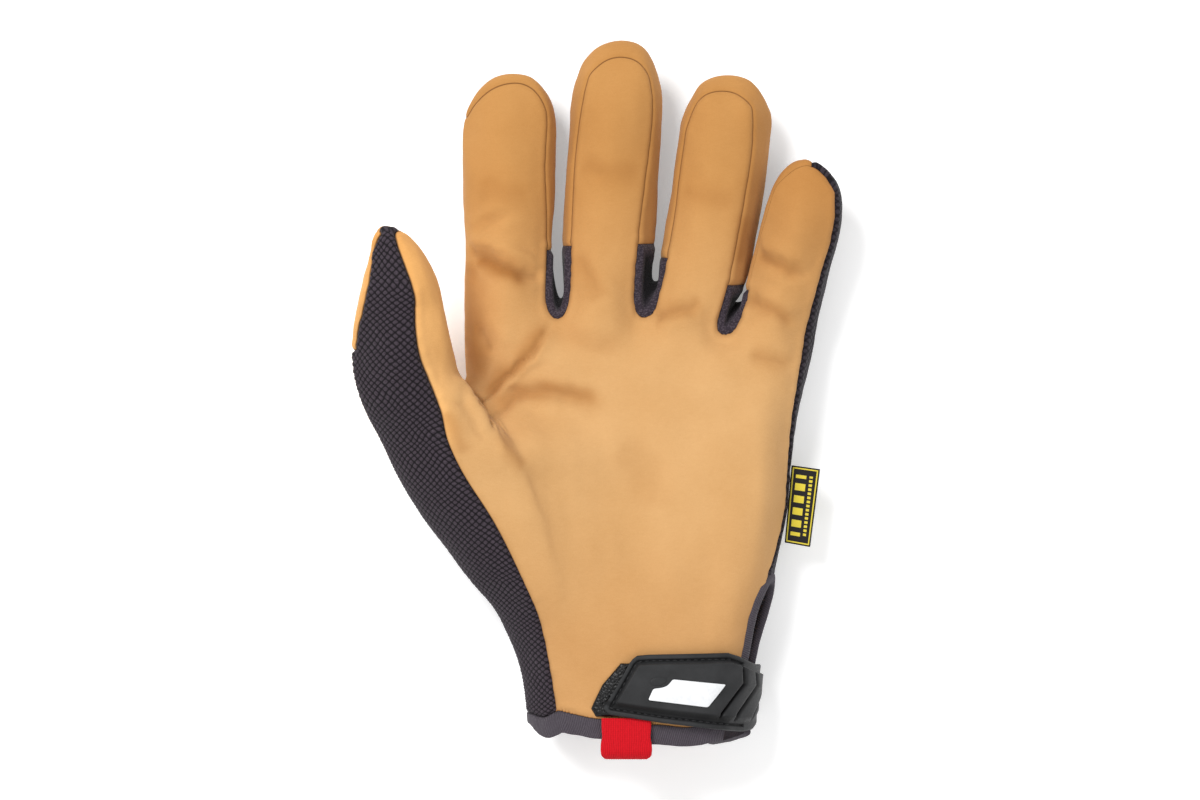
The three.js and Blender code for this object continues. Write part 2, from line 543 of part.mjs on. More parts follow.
function addWall(name, look, proud) {
  const list = fine.list.filter((face) => face.piece === name);
  const uses = new Map();
  list.forEach((face) => {
    for (let i = 0; i < 4; i += 1) {
      const key = edgeKey(face.corners[i], face.corners[(i + 1) % 4]);
      uses.set(key, (uses.get(key) ?? 0) + 1);
    }
  });
  const inward = new Map();
  const borderOf = new Map();
  list.forEach((face) => {
    const middle = new THREE.Vector3();
    face.corners.forEach((c) => middle.addScaledVector(surface[c], 0.25));
    for (let i = 0; i < 4; i += 1) {
      const a = face.corners[i];
      const b = face.corners[(i + 1) % 4];
      if (uses.get(edgeKey(a, b)) !== 1) continue;
      const along = surface[b].clone().sub(surface[a]).normalize();
      const side = middle.clone().sub(surface[a]);
      side.addScaledVector(along, -side.dot(along)).normalize();
      [a, b].forEach((v) => {
        if (!inward.has(v)) inward.set(v, []);
        inward.get(v).push(side);
        if (!borderOf.has(v)) borderOf.set(v, []);
        borderOf.get(v).push(v === a ? b : a);
      });
    }
  });
  const openEdge = new Set();
  fineAround.forEach((info, i) => {
    if (info.border.length === 2) openEdge.add(i);
  });
  const used = [...new Set(list.flatMap((face) => face.corners))];
  const slot = new Map(used.map((v, i) => [v, i]));
  const outer = used.map((v) => {
    const p = surface[v].clone();
    const sides = inward.get(v);
    if (sides) {
      let step = halfGap;
      const open = openEdge.has(v) && borderOf.get(v).some((n) => openEdge.has(n));
      if (open && name !== 'cuff_binding') step = ventTape.setBack;
      else if (open) step = 0;
      const sum = new THREE.Vector3();
      sides.forEach((s) => sum.add(s));
      const share = Math.max(sum.length() / sides.length, 0.5);
      p.addScaledVector(sum.normalize(), step / share);
    }
    return p.addScaledVector(normals[v], proud);
  });
  const thick = wall + proud + (proud > 0 ? 0.3 : 0);
  const inner = used.map((v, i) => outer[i].clone().addScaledVector(normals[v], -thick));
  const corners = outer.concat(inner);
  const count = used.length;
  const triangles = [];
  const bordering = new Set();
  list.forEach((face) => {
    for (let i = 0; i < 4; i += 1) {
      if (uses.get(edgeKey(face.corners[i], face.corners[(i + 1) % 4])) === 1) bordering.add(face.parent);
    }
  });
  list.forEach((face) => {
    const [a, b, c, d] = face.corners.map((v) => slot.get(v));
    triangles.push(a, b, c, a, c, d);
    if (bordering.has(face.parent)) {
      triangles.push(a + count, c + count, b + count, a + count, d + count, c + count);
    }
    for (let i = 0; i < 4; i += 1) {
      const p = face.corners[i];
      const q = face.corners[(i + 1) % 4];
      if (uses.get(edgeKey(p, q)) !== 1) continue;
      const s = slot.get(p);
      const t = slot.get(q);
      triangles.push(t, s, s + count, t, s + count, t + count);
    }
  });
  // Away from the borders the inside needs only one facet for each face of the cage.
  const split = new Set();
  list.forEach((face) => {
    if (bordering.has(face.parent)) [face.corners[1], face.corners[3]].forEach((v) => split.add(v));
  });
  const whole = new Map();
  list.forEach((face) => {
    if (bordering.has(face.parent)) return;
    if (!whole.has(face.parent)) whole.set(face.parent, []);
    whole.get(face.parent).push(face.corners);
  });
  whole.forEach((quads) => {
    const ringOf = [];
    quads.forEach((q) => {
      ringOf.push(q[0]);
      if (split.has(q[1])) ringOf.push(q[1]);
    });
    const inside = ringOf.map((v) => slot.get(v) + count);
    if (inside.length === 4) {
      triangles.push(inside[0], inside[2], inside[1], inside[0], inside[3], inside[2]);
      return;
    }
    const centre = slot.get(quads[0][2]) + count;
    inside.forEach((v, i) => triangles.push(centre, inside[(i + 1) % inside.length], v));
  });
  addMesh(name, look, corners, triangles);
}

addWall('palm_panel', 'leather', 0);
addWall('hand_back_panel', 'knit', 0);
addWall('thumb_back_panel', 'knit', 0);
addWall('index_side_strip', 'leather', 0);
addWall('middle_side_strip', 'leather', 0);
addWall('ring_side_strip', 'leather', 0);
addWall('little_side_strip', 'leather', 0);
addWall('index_middle_gusset', 'stretch', 0);
addWall('middle_ring_gusset', 'stretch', 0);
addWall('ring_little_gusset', 'stretch', 0);
addWall('cuff_binding', 'tape', bindingProud);

// The tape of the vent: a flat section swept along the slit's edge, from the cuff up and down again.

function borderPath(start, through, end) {
  const path = [start];
  let before = -1;
  let here = start;
  const goals = [...through, end];
  while (here !== end && path.length < 200) {
    const steps = fineAround[here].border.filter((v) => v !== before);
    let next = steps[0];
    if (before === -1 && steps.length > 1) {
      const goal = surface[goals[0]];
      next = surface[steps[0]].distanceTo(goal) < surface[steps[1]].distanceTo(goal) ? steps[0] : steps[1];
    }
    before = here;
    here = next;
    path.push(here);
  }
  return path;
}

function sweep(name, look, centres, sides, ups, wide, deep) {
  const section = [[-0.5, -0.25], [-0.25, -0.5], [0.25, -0.5], [0.5, -0.25], [0.5, 0.25], [0.25, 0.5], [-0.25, 0.5], [-0.5, 0.25]];
  const n = section.length;
  const corners = [];
  centres.forEach((centre, i) => {
    section.forEach(([s, u]) => corners.push(centre.clone().addScaledVector(sides[i], s * wide).addScaledVector(ups[i], u * deep)));
  });
  const triangles = [];
  for (let i = 0; i < centres.length - 1; i += 1) {
    for (let j = 0; j < n; j += 1) {
      const a = i * n + j;
      const b = i * n + ((j + 1) % n);
      triangles.push(a, b + n, b, a, a + n, b + n);
    }
  }
  for (let j = 1; j < n - 1; j += 1) {
    const end = (centres.length - 1) * n;
    triangles.push(0, j, j + 1, end, end + j + 1, end + j);
  }
  addMesh(name, look, corners, triangles);
}

const ventTop = tubeRings[ventTopRow];
const ventPath = borderPath(tubeRings[1].F[19], [tubeRings[2].F[19]], tubeRings[1].R);
const ventCentres = ventPath.map((v) => surface[v].clone().addScaledVector(normals[v], -wall / 2));
ventCentres[0].y += 0.5;
ventCentres[ventCentres.length - 1].y += 0.5;
const ventSides = ventCentres.map((p, i) => {
  const along = ventCentres[Math.min(i + 1, ventCentres.length - 1)].clone().sub(ventCentres[Math.max(i - 1, 0)]).normalize();
  return along.cross(normals[ventPath[i]]).normalize();
});
sweep('vent_binding', 'tape', ventCentres, ventSides, ventPath.map((v) => normals[v]), ventTape.wide, ventTape.deep);

// Pieces laid on the wrist are placed by rays from its middle, so that they follow the skin.

const wristMiddle = { x: 14, z: 21 };
const closed = subdivide(fitCage(points, faces), faces);
const closedAround = neighbours(closed.list, closed.cage.length);
const closedSkin = closed.cage.map((p, i) => (closedAround[i].edges.size ? limitPoint(i, closed.cage, closedAround) : p.clone()));
const wristFacets = [];
closed.list.forEach((face) => {
  const [a, b, c, d] = face.corners.map((i) => closedSkin[i]);
  if (Math.max(a.y, b.y, c.y, d.y) < -60) wristFacets.push([a, b, c], [a, c, d]);
});

function wristHit(angle, y) {
  const ray = new THREE.Ray(new THREE.Vector3(wristMiddle.x, y, wristMiddle.z), new THREE.Vector3(Math.sin(angle), 0, Math.cos(angle)));
  let best = null;
  const spot = new THREE.Vector3();
  wristFacets.forEach(([a, b, c]) => {
    if (!ray.intersectTriangle(a, b, c, false, spot)) return;
    const far = spot.distanceTo(ray.origin);
    if (!best || far < best.far) best = { far, at: spot.clone(), facet: [a, b, c] };
  });
  return best;
}

function onWrist(angle, y, height) {
  const clampY = Math.max(y, -113.5);
  const mid = wristHit(angle, clampY);
  const before = wristHit(angle - 0.09, clampY).at;
  const after = wristHit(angle + 0.09, clampY).at;
  const along = after.sub(before);
  const normal = new THREE.Vector3(-along.z, 0, along.x).normalize();
  if (normal.x * Math.sin(angle) + normal.z * Math.cos(angle) < 0) normal.negate();
  const at = mid.at.clone();
  at.y = y;
  return at.addScaledVector(normal, height);
}

function angleFor(x, y) {
  let low = -1.3;
  let high = 1.45;
  for (let i = 0; i < 18; i += 1) {
    const mid = 0.5 * (low + high);
    if (wristHit(mid, Math.max(y, -113.5)).at.x < x) low = mid;
    else high = mid;
  }
  return 0.5 * (low + high);
}

function slab(name, look, columns, rows, low, high) {
  // low and high give the lower and upper face for a column share s and a row share v.
  const corners = [];
  const put = (make) => {
    for (let i = 0; i <= columns; i += 1) {
      for (let j = 0; j <= rows; j += 1) corners.push(make(i / columns, j / rows));
    }
  };
  put(high);
  put(low);
  const count = (columns + 1) * (rows + 1);
  const at = (i, j) => i * (rows + 1) + j;
  const triangles = [];
  for (let i = 0; i < columns; i += 1) {
    for (let j = 0; j < rows; j += 1) {
      const a = at(i, j);
      const b = at(i, j + 1);
      const c = at(i + 1, j + 1);
      const d = at(i + 1, j);
      triangles.push(a, b, c, a, c, d, a + count, c + count, b + count, a + count, d + count, c + count);
    }
  }
  const edge = [];
  for (let j = 0; j < rows; j += 1) edge.push(at(0, j));
  for (let i = 0; i < columns; i += 1) edge.push(at(i, rows));
  for (let j = rows; j > 0; j -= 1) edge.push(at(columns, j));
  for (let i = columns; i > 0; i -= 1) edge.push(at(i, 0));
  edge.forEach((a, k) => {
    const b = edge[(k + 1) % edge.length];
    triangles.push(a, a + count, b + count, a, b + count, b);
  });
  addMesh(name, look, corners, triangles);
}

function line(knots, x) {
  if (x <= knots[0][0]) return knots[0][1];
  for (let i = 1; i < knots.length; i += 1) {
    if (x <= knots[i][0]) return THREE.MathUtils.mapLinear(x, knots[i - 1][0], knots[i][0], knots[i - 1][1], knots[i][1]);
  }
  return knots[knots.length - 1][1];
}

function strapLift(x) {
  return THREE.MathUtils.lerp(strap.liftLeft, strap.liftRight, smooth((x - 36) / 8));
}

function strapPoint(s, v, over) {
  const left = line(strap.leftEdge, v);
  const flatShare = 0.68;
  const x = left + (strap.turn - left) * Math.min(s / flatShare, 1);
  const y = THREE.MathUtils.lerp(line(strap.upper, x), line(strap.lower, x), v);
  if (s <= flatShare) return onWrist(angleFor(x, y), y, strapLift(x) + over);
  const t = (s - flatShare) / (1 - flatShare);
  const start = angleFor(strap.turn, y);
  const sideY = THREE.MathUtils.lerp(strap.sideUpper, strap.sideLower, v);
  const yy = THREE.MathUtils.lerp(y, sideY, smooth(2 * t));
  return onWrist(THREE.MathUtils.lerp(start, strap.endAngle * Math.PI / 180, t), yy, strap.liftRight + over);
}

slab('closure_strap', 'rubber', 22, 6, (s, v) => strapPoint(s, v, 0), (s, v) => strapPoint(s, v, strap.thick));

slab('hook_tape', 'hook', 10, 5, (s, v) => {
  const left = line(hook.leftEdge, v);
  const x = THREE.MathUtils.lerp(left, hook.right, s);
  const y = THREE.MathUtils.lerp(hook.upper, hook.lower, v);
  return onWrist(angleFor(x, y), y, hook.low);
}, (s, v) => {
  const left = line(hook.leftEdge, v);
  const x = THREE.MathUtils.lerp(left, hook.right, s);
  const y = THREE.MathUtils.lerp(hook.upper, hook.lower, v);
  return onWrist(angleFor(x, y), y, hook.high);
});

function patchPoint(s, v, over) {
  const x = THREE.MathUtils.lerp(THREE.MathUtils.lerp(patch.topLeft[0], patch.topRight[0], s), THREE.MathUtils.lerp(patch.bottomLeft[0], patch.bottomRight[0], s), v);
  const y = THREE.MathUtils.lerp(THREE.MathUtils.lerp(patch.topLeft[1], patch.topRight[1], s), THREE.MathUtils.lerp(patch.bottomLeft[1], patch.bottomRight[1], s), v);
  return onWrist(angleFor(x, y), y, strapLift(x) + strap.thick + over);
}

slab('id_patch', 'white', 8, 3, (s, v) => patchPoint(s, v, 0.3), (s, v) => patchPoint(s, v, 0.3 + patch.thick));

// The pull tab: one ribbon folded round the cuff's edge, outside and inside.

const pullLine = [];
const pullGap = 2.05;
for (let i = 0; i <= 5; i += 1) pullLine.push([THREE.MathUtils.lerp(pull.start, pull.end + pullGap + pull.thick, i / 5), 0]);
for (let i = 1; i < 6; i += 1) {
  const turn = (i / 6) * Math.PI;
  pullLine.push([pull.end + pullGap + pull.thick - Math.sin(turn) * (pullGap + pull.thick), Math.cos(turn) * (pullGap + pull.thick / 2) - (pullGap + pull.thick / 2)]);
}
for (let i = 0; i <= 4; i += 1) pullLine.push([THREE.MathUtils.lerp(pull.end + pullGap + pull.thick, -114.5, i / 4), -2 * pullGap - pull.thick]);

function pullPoint(s, v, half) {
  const k = Math.min(Math.round(s * (pullLine.length - 1)), pullLine.length - 1);
  const [y, drop] = pullLine[k];
  const before = pullLine[Math.max(k - 1, 0)];
  const after = pullLine[Math.min(k + 1, pullLine.length - 1)];
  const run = new THREE.Vector2(after[0] - before[0], after[1] - before[1]).normalize();
  const x = THREE.MathUtils.lerp(pull.left, pull.right, v);
  const at = onWrist(angleFor(x, -113.5), -113.5, 0);
  at.y = y + run.y * half;
  at.z += bindingProud + 0.7 + pull.thick / 2 + drop - run.x * half;
  return at;
}

slab('pull_tab', 'red', pullLine.length - 1, 4, (s, v) => pullPoint(s, v, pull.thick / 2), (s, v) => pullPoint(s, v, -pull.thick / 2));

// The side label stands out of the seam on the little finger's side.

const labelCorners = [];
[label.thick / 2, -label.thick / 2].forEach((dz) => label.corners.forEach(([x, y]) => labelCorners.push(new THREE.Vector3(x, y, label.z + dz))));
addMesh('side_label', 'label', labelCorners, [0, 2, 1, 0, 3, 2, 4, 5, 6, 4, 6, 7, 0, 1, 5, 0, 5, 4, 1, 2, 6, 1, 6, 5, 2, 3, 7, 2, 7, 6, 3, 0, 4, 3, 4, 7]);

export default glove;
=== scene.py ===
import math

import bpy
import numpy as np
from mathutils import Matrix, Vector
from mathutils.bvhtree import BVHTree
from mathutils.kdtree import KDTree


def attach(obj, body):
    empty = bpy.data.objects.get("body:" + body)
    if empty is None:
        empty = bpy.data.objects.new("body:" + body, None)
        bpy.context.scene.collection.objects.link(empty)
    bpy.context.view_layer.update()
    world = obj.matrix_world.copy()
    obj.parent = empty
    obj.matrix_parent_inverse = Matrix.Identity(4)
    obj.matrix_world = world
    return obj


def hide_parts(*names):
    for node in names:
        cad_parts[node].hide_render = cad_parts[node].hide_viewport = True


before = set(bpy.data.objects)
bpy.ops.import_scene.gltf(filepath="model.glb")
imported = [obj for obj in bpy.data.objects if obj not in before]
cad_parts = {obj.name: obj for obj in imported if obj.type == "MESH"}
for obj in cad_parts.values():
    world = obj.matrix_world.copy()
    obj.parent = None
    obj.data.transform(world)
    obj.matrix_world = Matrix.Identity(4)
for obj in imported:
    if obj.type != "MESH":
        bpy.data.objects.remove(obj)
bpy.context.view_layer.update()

# Studio
# The glove lies palm up on a white table and is seen from straight above through a long lens.
# Large soft lights stand round the lens, so that only the folds and seams throw any shade.

scene = bpy.context.scene
bpy.ops.object.select_all(action="DESELECT")

camera_height = 6.0
frame_width = 0.42
bpy.ops.object.camera_add(location=(-0.000525, 0.0, camera_height), rotation=(0.0, 0.0, 0.0))
camera = bpy.context.object
camera.name = "camera"
camera.data.sensor_width = 36.0
camera.data.lens = 36.0 * (camera_height - 0.018) / frame_width
scene.camera = camera

bpy.ops.mesh.primitive_plane_add(size=6.0, location=(0.0, 0.0, 0.0))
table = bpy.context.object
table.name = "table_top"
table_white = bpy.data.materials.new("table_white")
table_white.use_nodes = True
table_shader = table_white.node_tree.nodes["Principled BSDF"]
table_shader.inputs["Base Color"].default_value = (0.93, 0.93, 0.93, 1.0)
table_shader.inputs["Roughness"].default_value = 0.9
table_shader.inputs["Specular IOR Level"].default_value = 0.1
table_shader.inputs["Emission Color"].default_value = (1.0, 1.0, 1.0, 1.0)
table_shader.inputs["Emission Strength"].default_value = 0.3
table.data.materials.append(table_white)

for name, place, size, power in (
    ("key_light", (-1.0, 1.2, 2.2), 1.1, 60.0),
    ("fill_light", (1.3, -0.5, 2.3), 1.8, 20.0),
    ("low_light", (-0.6, -1.4, 1.8), 1.2, 8.0),
):
    bpy.ops.object.light_add(type="AREA", location=place)
    lamp = bpy.context.object
    lamp.name = name
    lamp.data.shape = "DISK"
    lamp.data.size = size
    lamp.data.energy = power
    lamp.rotation_euler = Vector(place).to_track_quat("Z", "Y").to_euler()

sky = bpy.data.worlds.new("studio")
sky.use_nodes = True
sky.node_tree.nodes["Background"].inputs["Color"].default_value = (1.0, 1.0, 1.0, 1.0)
sky.node_tree.nodes["Background"].inputs["Strength"].default_value = 0.42
scene.world = sky
scene.view_settings.view_transform = "Standard"
scene.view_settings.look = "None"

# Palm
# One piece of soft tan synthetic suede covers the palm, the fronts of the fingers and most of the thumb.
# All the cloth is cut from one worn hand shape. It is set out here in millimetres as sections across the
# hand, smoothed, folded where the hand has creased it, and then parted along its seams.

wall = 1.5
half_gap = 0.09
vent_set_back = 1.2
binding_proud = 0.4

# y, left, dark seam, thumb column, side seam, right, z left, z right, thenar, middle, heel, lift
tube_rows = [
    (-118.3, -24.7, -14.2, -8.8, 42.0, 50.6, 20, 17, 38, 41, 36, 2),
    (-111.0, -25.8, -15.9, -9.8, 43.4, 51.3, 20, 17, 39, 42, 37, 2),
    (-93.0, -28.2, -18.2, -11.2, 49.6, 52.4, 22, 16, 41, 43, 38, 3),
    (-75.2, -36.0, -22.2, -12.8, 52.8, 57.2, 24, 15, 44, 42, 38, 4),
    (-63.5, -44.7, -27.2, -15.6, 58.0, 60.0, 26, 15, 47, 40, 38, 6),
    (-43.8, -60.0, -36.8, -21.0, 63.3, 63.9, 28, 16, 50, 37, 37, 9),
    (-28.0, -69.8, -46.9, -27.0, 65.2, 65.8, 31, 16, 52, 35, 36, 12),
    (-14.0, -76.8, -53.6, -34.0, 66.1, 67.2, 33, 16, 53, 34, 35, 15),
]
vent_top_row = 4
cuff_end = [(-24.7, -112.7), (-21.9, -116.6), (-18.4, -118.0), (-14.2, -116.3), (0, -118.0), (18, -120.0),
            (30, -120.8), (42, -118.7), (52, -117.6)]
cuff_seam = [(-25.2, -109.6), (-22.6, -110.3), (-19.4, -111.0), (-15.9, -108.7), (0, -111.3), (18, -113.2),
             (30, -114.2), (43.6, -113.0), (53, -111.5)]
cuff_back = [(-24.7, -114.4), (-10, -116.4), (20, -118.4), (42, -120.6), (52, -120.8)]

# y left, y right, left, front, side seam, right, z left, z right, index side, middle, heel, lift
palm_rows = [
    (0.5, 0.0, -46.7, -42.6, 67.5, 69.8, 14, 16, 29, 33, 34, 1),
    (15.0, 12.5, -47.6, -45.6, 69.8, 72.8, 13, 16, 30, 32, 32, 0),
]
webs = {
    "index_middle": ((-19.2, 31.2), (-11.9, 31.2), (-15.4, 37.6), (-13.3, 37.6)),
    "middle_ring": ((11.6, 30.6), (18.6, 31.2), (17.9, 42.6), (20.6, 42.6)),
    "ring_little": ((40.2, 24.2), (46.6, 24.4), (46.9, 34.5), (49.0, 34.5)),
}
web_front, web_slit, web_back = 26, 16, 5
fork_crown = [30, 31, 30, 30]

# y left, y right, left, right, left seam, right seam, z, thickness
digits = {
    "index": [
        (51.8, 52.5, -47.6, -17.5, -45.6, -18.9, 14.5, 27),
        (67.2, 67.2, -48.1, -16.6, -46.0, -19.2, 15.0, 26.5),
        (84.0, 84.0, -48.5, -16.3, -46.2, -19.4, 16.5, 26),
        (98.7, 99.4, -47.4, -16.1, -47.2, -18.9, 18.5, 24),
    ],
    "middle": [
        (53.9, 54.6, -13.8, 18.4, -10.8, 12.9, 15.0, 28),
        (77.0, 77.0, -12.4, 19.6, -9.9, 15.4, 16.2, 27),
        (100.8, 100.8, -10.7, 21.2, -7.5, 18.2, 19.0, 26),
        (112.7, 113.4, -8.4, 19.8, -4.6, 16.6, 21.0, 21.5),
    ],
    "ring": [
        (49.7, 40.2, 20.5, 49.6, 22.9, 44.3, 15.5, 26.5),
        (73.0, 67.0, 24.6, 55.6, 26.5, 49.5, 16.8, 26.3),
        (95.2, 92.4, 27.5, 58.8, 29.6, 53.2, 19.5, 25),
        (104.6, 102.5, 31.0, 57.9, 33.6, 52.6, 21.0, 20.5),
    ],
    "little": [
        (38.5, 35.0, 50.6, 77.2, 51.4, 74.4, 18.5, 25),
        (51.1, 48.3, 53.4, 80.7, 54.2, 78.2, 20.5, 24),
        (63.0, 60.9, 56.4, 83.8, 57.2, 81.4, 23.0, 23),
        (73.5, 72.4, 59.6, 83.5, 60.5, 81.4, 25.0, 19),
    ],
}
# y left, y front, y right, left, right, left seam, knit edge, right seam, z, thickness, edge z, right z
thumb_rows = [
    (-8.4, -2.8, 6.3, -79.6, -49.4, -77.6, -55.8, -41.8, 34, 38, 46, 30),
    (2.8, 7.7, 12.0, -84.0, -50.4, -82.9, -59.7, -50.9, 41, 33, None, 39),
    (17.5, 19.3, 19.3, -85.9, -52.3, -85.6, -63.9, -54.4, 47, 31, None, 47),
    (30.8, 32.2, 32.2, -85.2, -55.1, -83.3, -64.6, -57.2, 51, 29, None, 51),
    (42.0, 40.6, 40.6, -82.9, -56.9, -80.9, -66.0, -59.9, 54, 26, None, 54),
    (50.4, 50.0, 50.0, -80.8, -61.3, -80.0, -68.8, -64.4, 56, 19, None, 56),
]
# end left, end right, front left, front right, z, rise
tips = {
    "index": ((-38.2, 111.7), (-23.4, 111.3), (-38.3, 108.8), (-24.8, 109.9), 20.5, 6),
    "middle": ((-1.0, 123.8), (13.8, 124.0), (1.6, 118.9), (11.5, 118.9), 22.5, 6),
    "ring": ((37.3, 112.4), (51.3, 112.3), (38.6, 107.6), (46.6, 107.3), 22.5, 6),
    "little": ((67.0, 82.6), (78.6, 80.1), (68.8, 81.5), (77.2, 79.4), 26.5, 5),
    "thumb": ((-77.9, 58.2), (-69.0, 58.4), (-76.8, 57.9), (-71.6, 56.8), 57, 5),
}

piece_names = ["palm_panel", "hand_back_panel", "thumb_back_panel", "index_side_strip", "middle_side_strip",
               "ring_side_strip", "little_side_strip", "index_middle_gusset", "middle_ring_gusset",
               "ring_little_gusset", "cuff_binding", "vent_open"]
spots = []
quads = []
labels = []
marks = []


def spot(x, y, z):
    spots.append((x, y, max(z, 0.0)))
    return len(spots) - 1


def apart(a, b):
    return math.dist(spots[a], spots[b])


def patch(corners, piece, uv):
    quads.append(corners)
    labels.append(piece_names.index(piece))
    marks.append(uv)


def lerp(a, b, t):
    return a + (b - a) * t


def eased(t):
    c = min(max(t, 0.0), 1.0)
    return c * c * (3 - 2 * c)


def rounded_edge(distance, radius):
    if distance >= radius:
        return 1.0
    t = 1 - max(distance, 0.0) / radius
    return math.sqrt(max(1 - t * t, 0.0))


def crown(x, knots):
    if x <= knots[0][0]:
        return knots[0][1]
    for (xa, za), (xb, zb) in zip(knots, knots[1:]):
        if x <= xb:
            return lerp(za, zb, eased((x - xa) / (xb - xa)))
    return knots[-1][1]


def even_crown(x, knots):
    """A smooth curve through the knots that never overshoots them, level at both ends."""
    if x <= knots[0][0]:
        return knots[0][1]
    if x >= knots[-1][0]:
        return knots[-1][1]
    slopes = [(zb - za) / (xb - xa) for (xa, za), (xb, zb) in zip(knots, knots[1:])]
    turns = [0.0]
    for before, after in zip(slopes, slopes[1:]):
        turns.append(2 * before * after / (before + after) if before * after > 0 else 0.0)
    turns.append(0.0)
    k = max(i for i in range(len(slopes)) if x >= knots[i][0])
    (xa, za), (xb, zb) = knots[k], knots[k + 1]
    t = (x - xa) / (xb - xa)
    early = turns[k] * (xb - xa) - (zb - za)
    late = turns[k + 1] * (xb - xa) - (zb - za)
    return lerp(za, zb, t) + t * (1 - t) * ((1 - t) * early - t * late)


def height_at(x, side, left, right, knots, lift, top, edge_left, edge_right):
    reach = min(rounded_edge(x - left, edge_left), rounded_edge(right - x, edge_right))
    if top:
        return side + (even_crown(x, knots) - side) * reach
    return side - (side - lift * eased((left + 46 - x) / 46)) * reach


fork_edges = [-46.4, -19.2, -11.9, 11.6, 18.6, 40.2, 46.6, 71.6]
fork_xs = [lerp(fork_edges[2 * f], fork_edges[2 * f + 1], i / 3) for f in range(4) for i in range(4)]
fork_share = [(x - fork_xs[0]) / (fork_xs[15] - fork_xs[0]) for x in fork_xs]

tube_rings = []
for index, row in enumerate(tube_rows):
    y_row, left, seam, web, side_seam, right, z_left, z_right, thenar, middle, heel, lift = row
    xs = [left + 0.14 * (seam - left), left + 0.56 * (seam - left), seam, web - 2.6]
    mix = eased((y_row + 70) / 60)
    xs += [lerp(web + 2.6, side_seam, lerp(i / 15, fork_share[i], mix)) for i in range(16)]
    knots = [(0.5 * (seam + web), thenar), (web + 10, lerp(middle, thenar, 0.4)), (14, middle), (48, heel)]
    ring = {"F": [], "B": []}
    for i, x in enumerate(xs):
        side = lerp(z_left, z_right, eased((x - left) / (right - left)))
        z = height_at(x, side, left, right, knots, 0, True, 24, 17)
        if index == len(tube_rows) - 1 and i in (3, 4):
            z = 49 if i == 3 else 42.5
        y = crown(x, cuff_end if index == 0 else cuff_seam) if index < 2 else y_row
        ring["F"].append(spot(x, y, z))
    ends = cuff_end if index == 0 else cuff_seam
    ring["R"] = spot(right, crown(right, ends) if index < 2 else y_row, z_right)
    for i, x in enumerate(xs):
        spread, shift = ((1.0, 0.0), (1.08, 0.3))[index] if index < 2 else (1.15, 0.6)
        bx = left + (x - left) * spread + shift if i < 3 else x
        bx = x - (i - 16) * 0.5 if i > 16 else bx
        side = lerp(z_left, z_right, eased((x - left) / (right - left)))
        z = max(height_at(bx, side, left, right, knots, lift, False, 22, 18), 1.0 if index < 2 else 0.0)
        y = crown(x, cuff_back) + (0 if index == 0 else 6.6) if index < 2 else y_row
        ring["B"].append(spot(bx, y, z))
    ring["L"] = spot(left, crown(left, ends) if index < 2 else y_row, z_left)
    tube_rings.append(ring)

web_thumb_side = spot(-47.4, 3.6, 25)
web_palm_side = spot(-45.6, 3.2, 21)

palm_rings = []
for row in palm_rows:
    y_left, y_right, left, front, side_seam, right, z_left, z_right, index_side, middle, heel, lift = row
    knots = [(-38, index_side - 1), (-20, index_side + 2), (12, middle), (48, heel)]
    ring = {"F": [], "B": []}
    xs = [lerp(front, side_seam, share) for share in fork_share]
    for x in xs:
        y = lerp(y_left, y_right, (x - left) / (right - left))
        side = lerp(z_left, z_right, eased((x - left) / (right - left)))
        ring["F"].append(spot(x, y, height_at(x, side, left, right, knots, 0, True, 15, 17)))
    ring["R"] = spot(right, y_right, z_right)
    for i, x in enumerate(xs):
        bx = x + 0.6 if i == 0 else x
        y = lerp(y_left, y_right, (x - left) / (right - left))
        side = lerp(z_left, z_right, eased((x - left) / (right - left)))
        ring["B"].append(spot(bx, y, height_at(bx, side, left, right, knots, lift, False, 14, 16)))
    ring["L"] = spot(left, y_left, z_left)
    palm_rings.append(ring)

web_list = list(webs.values())
slits = [[spot(*web[2], web_slit), spot(*web[3], web_slit)] for web in web_list]
fork_ring = {"F": [], "B": [], "L": spot(-48.0, 33.2, 14), "R": spot(75.1, 24.5, 16)}
for finger in range(4):
    a = (-46.4, 33.2) if finger == 0 else web_list[finger - 1][1]
    b = (71.6, 24.5) if finger == 3 else web_list[finger][0]
    for i in range(4):
        x = lerp(a[0], b[0], i / 3)
        y = lerp(a[1], b[1], i / 3)
        inside = i in (1, 2)
        z = fork_crown[finger] if inside else web_front
        if (finger, i) == (0, 0):
            z = 21
        if (finger, i) == (3, 3):
            z = 23
        fork_ring["F"].append(spot(x, y + (1.0 if inside else 0.0), z))
        z_back = 0.2 if inside else (6 if (finger, i) in ((0, 0), (3, 3)) else web_back)
        fork_ring["B"].append(spot(x, y + (0.0 if inside else 3.0), z_back))


def front_u(ring, knit):
    # The knit is unrolled leftwards from its seam, so its stitches keep their size round the side.
    us = [spots[v][0] for v in ring["F"]]
    if knit:
        us[1] = us[2] - apart(ring["F"][1], ring["F"][2])
        us[0] = us[1] - apart(ring["F"][0], ring["F"][1])
    return us


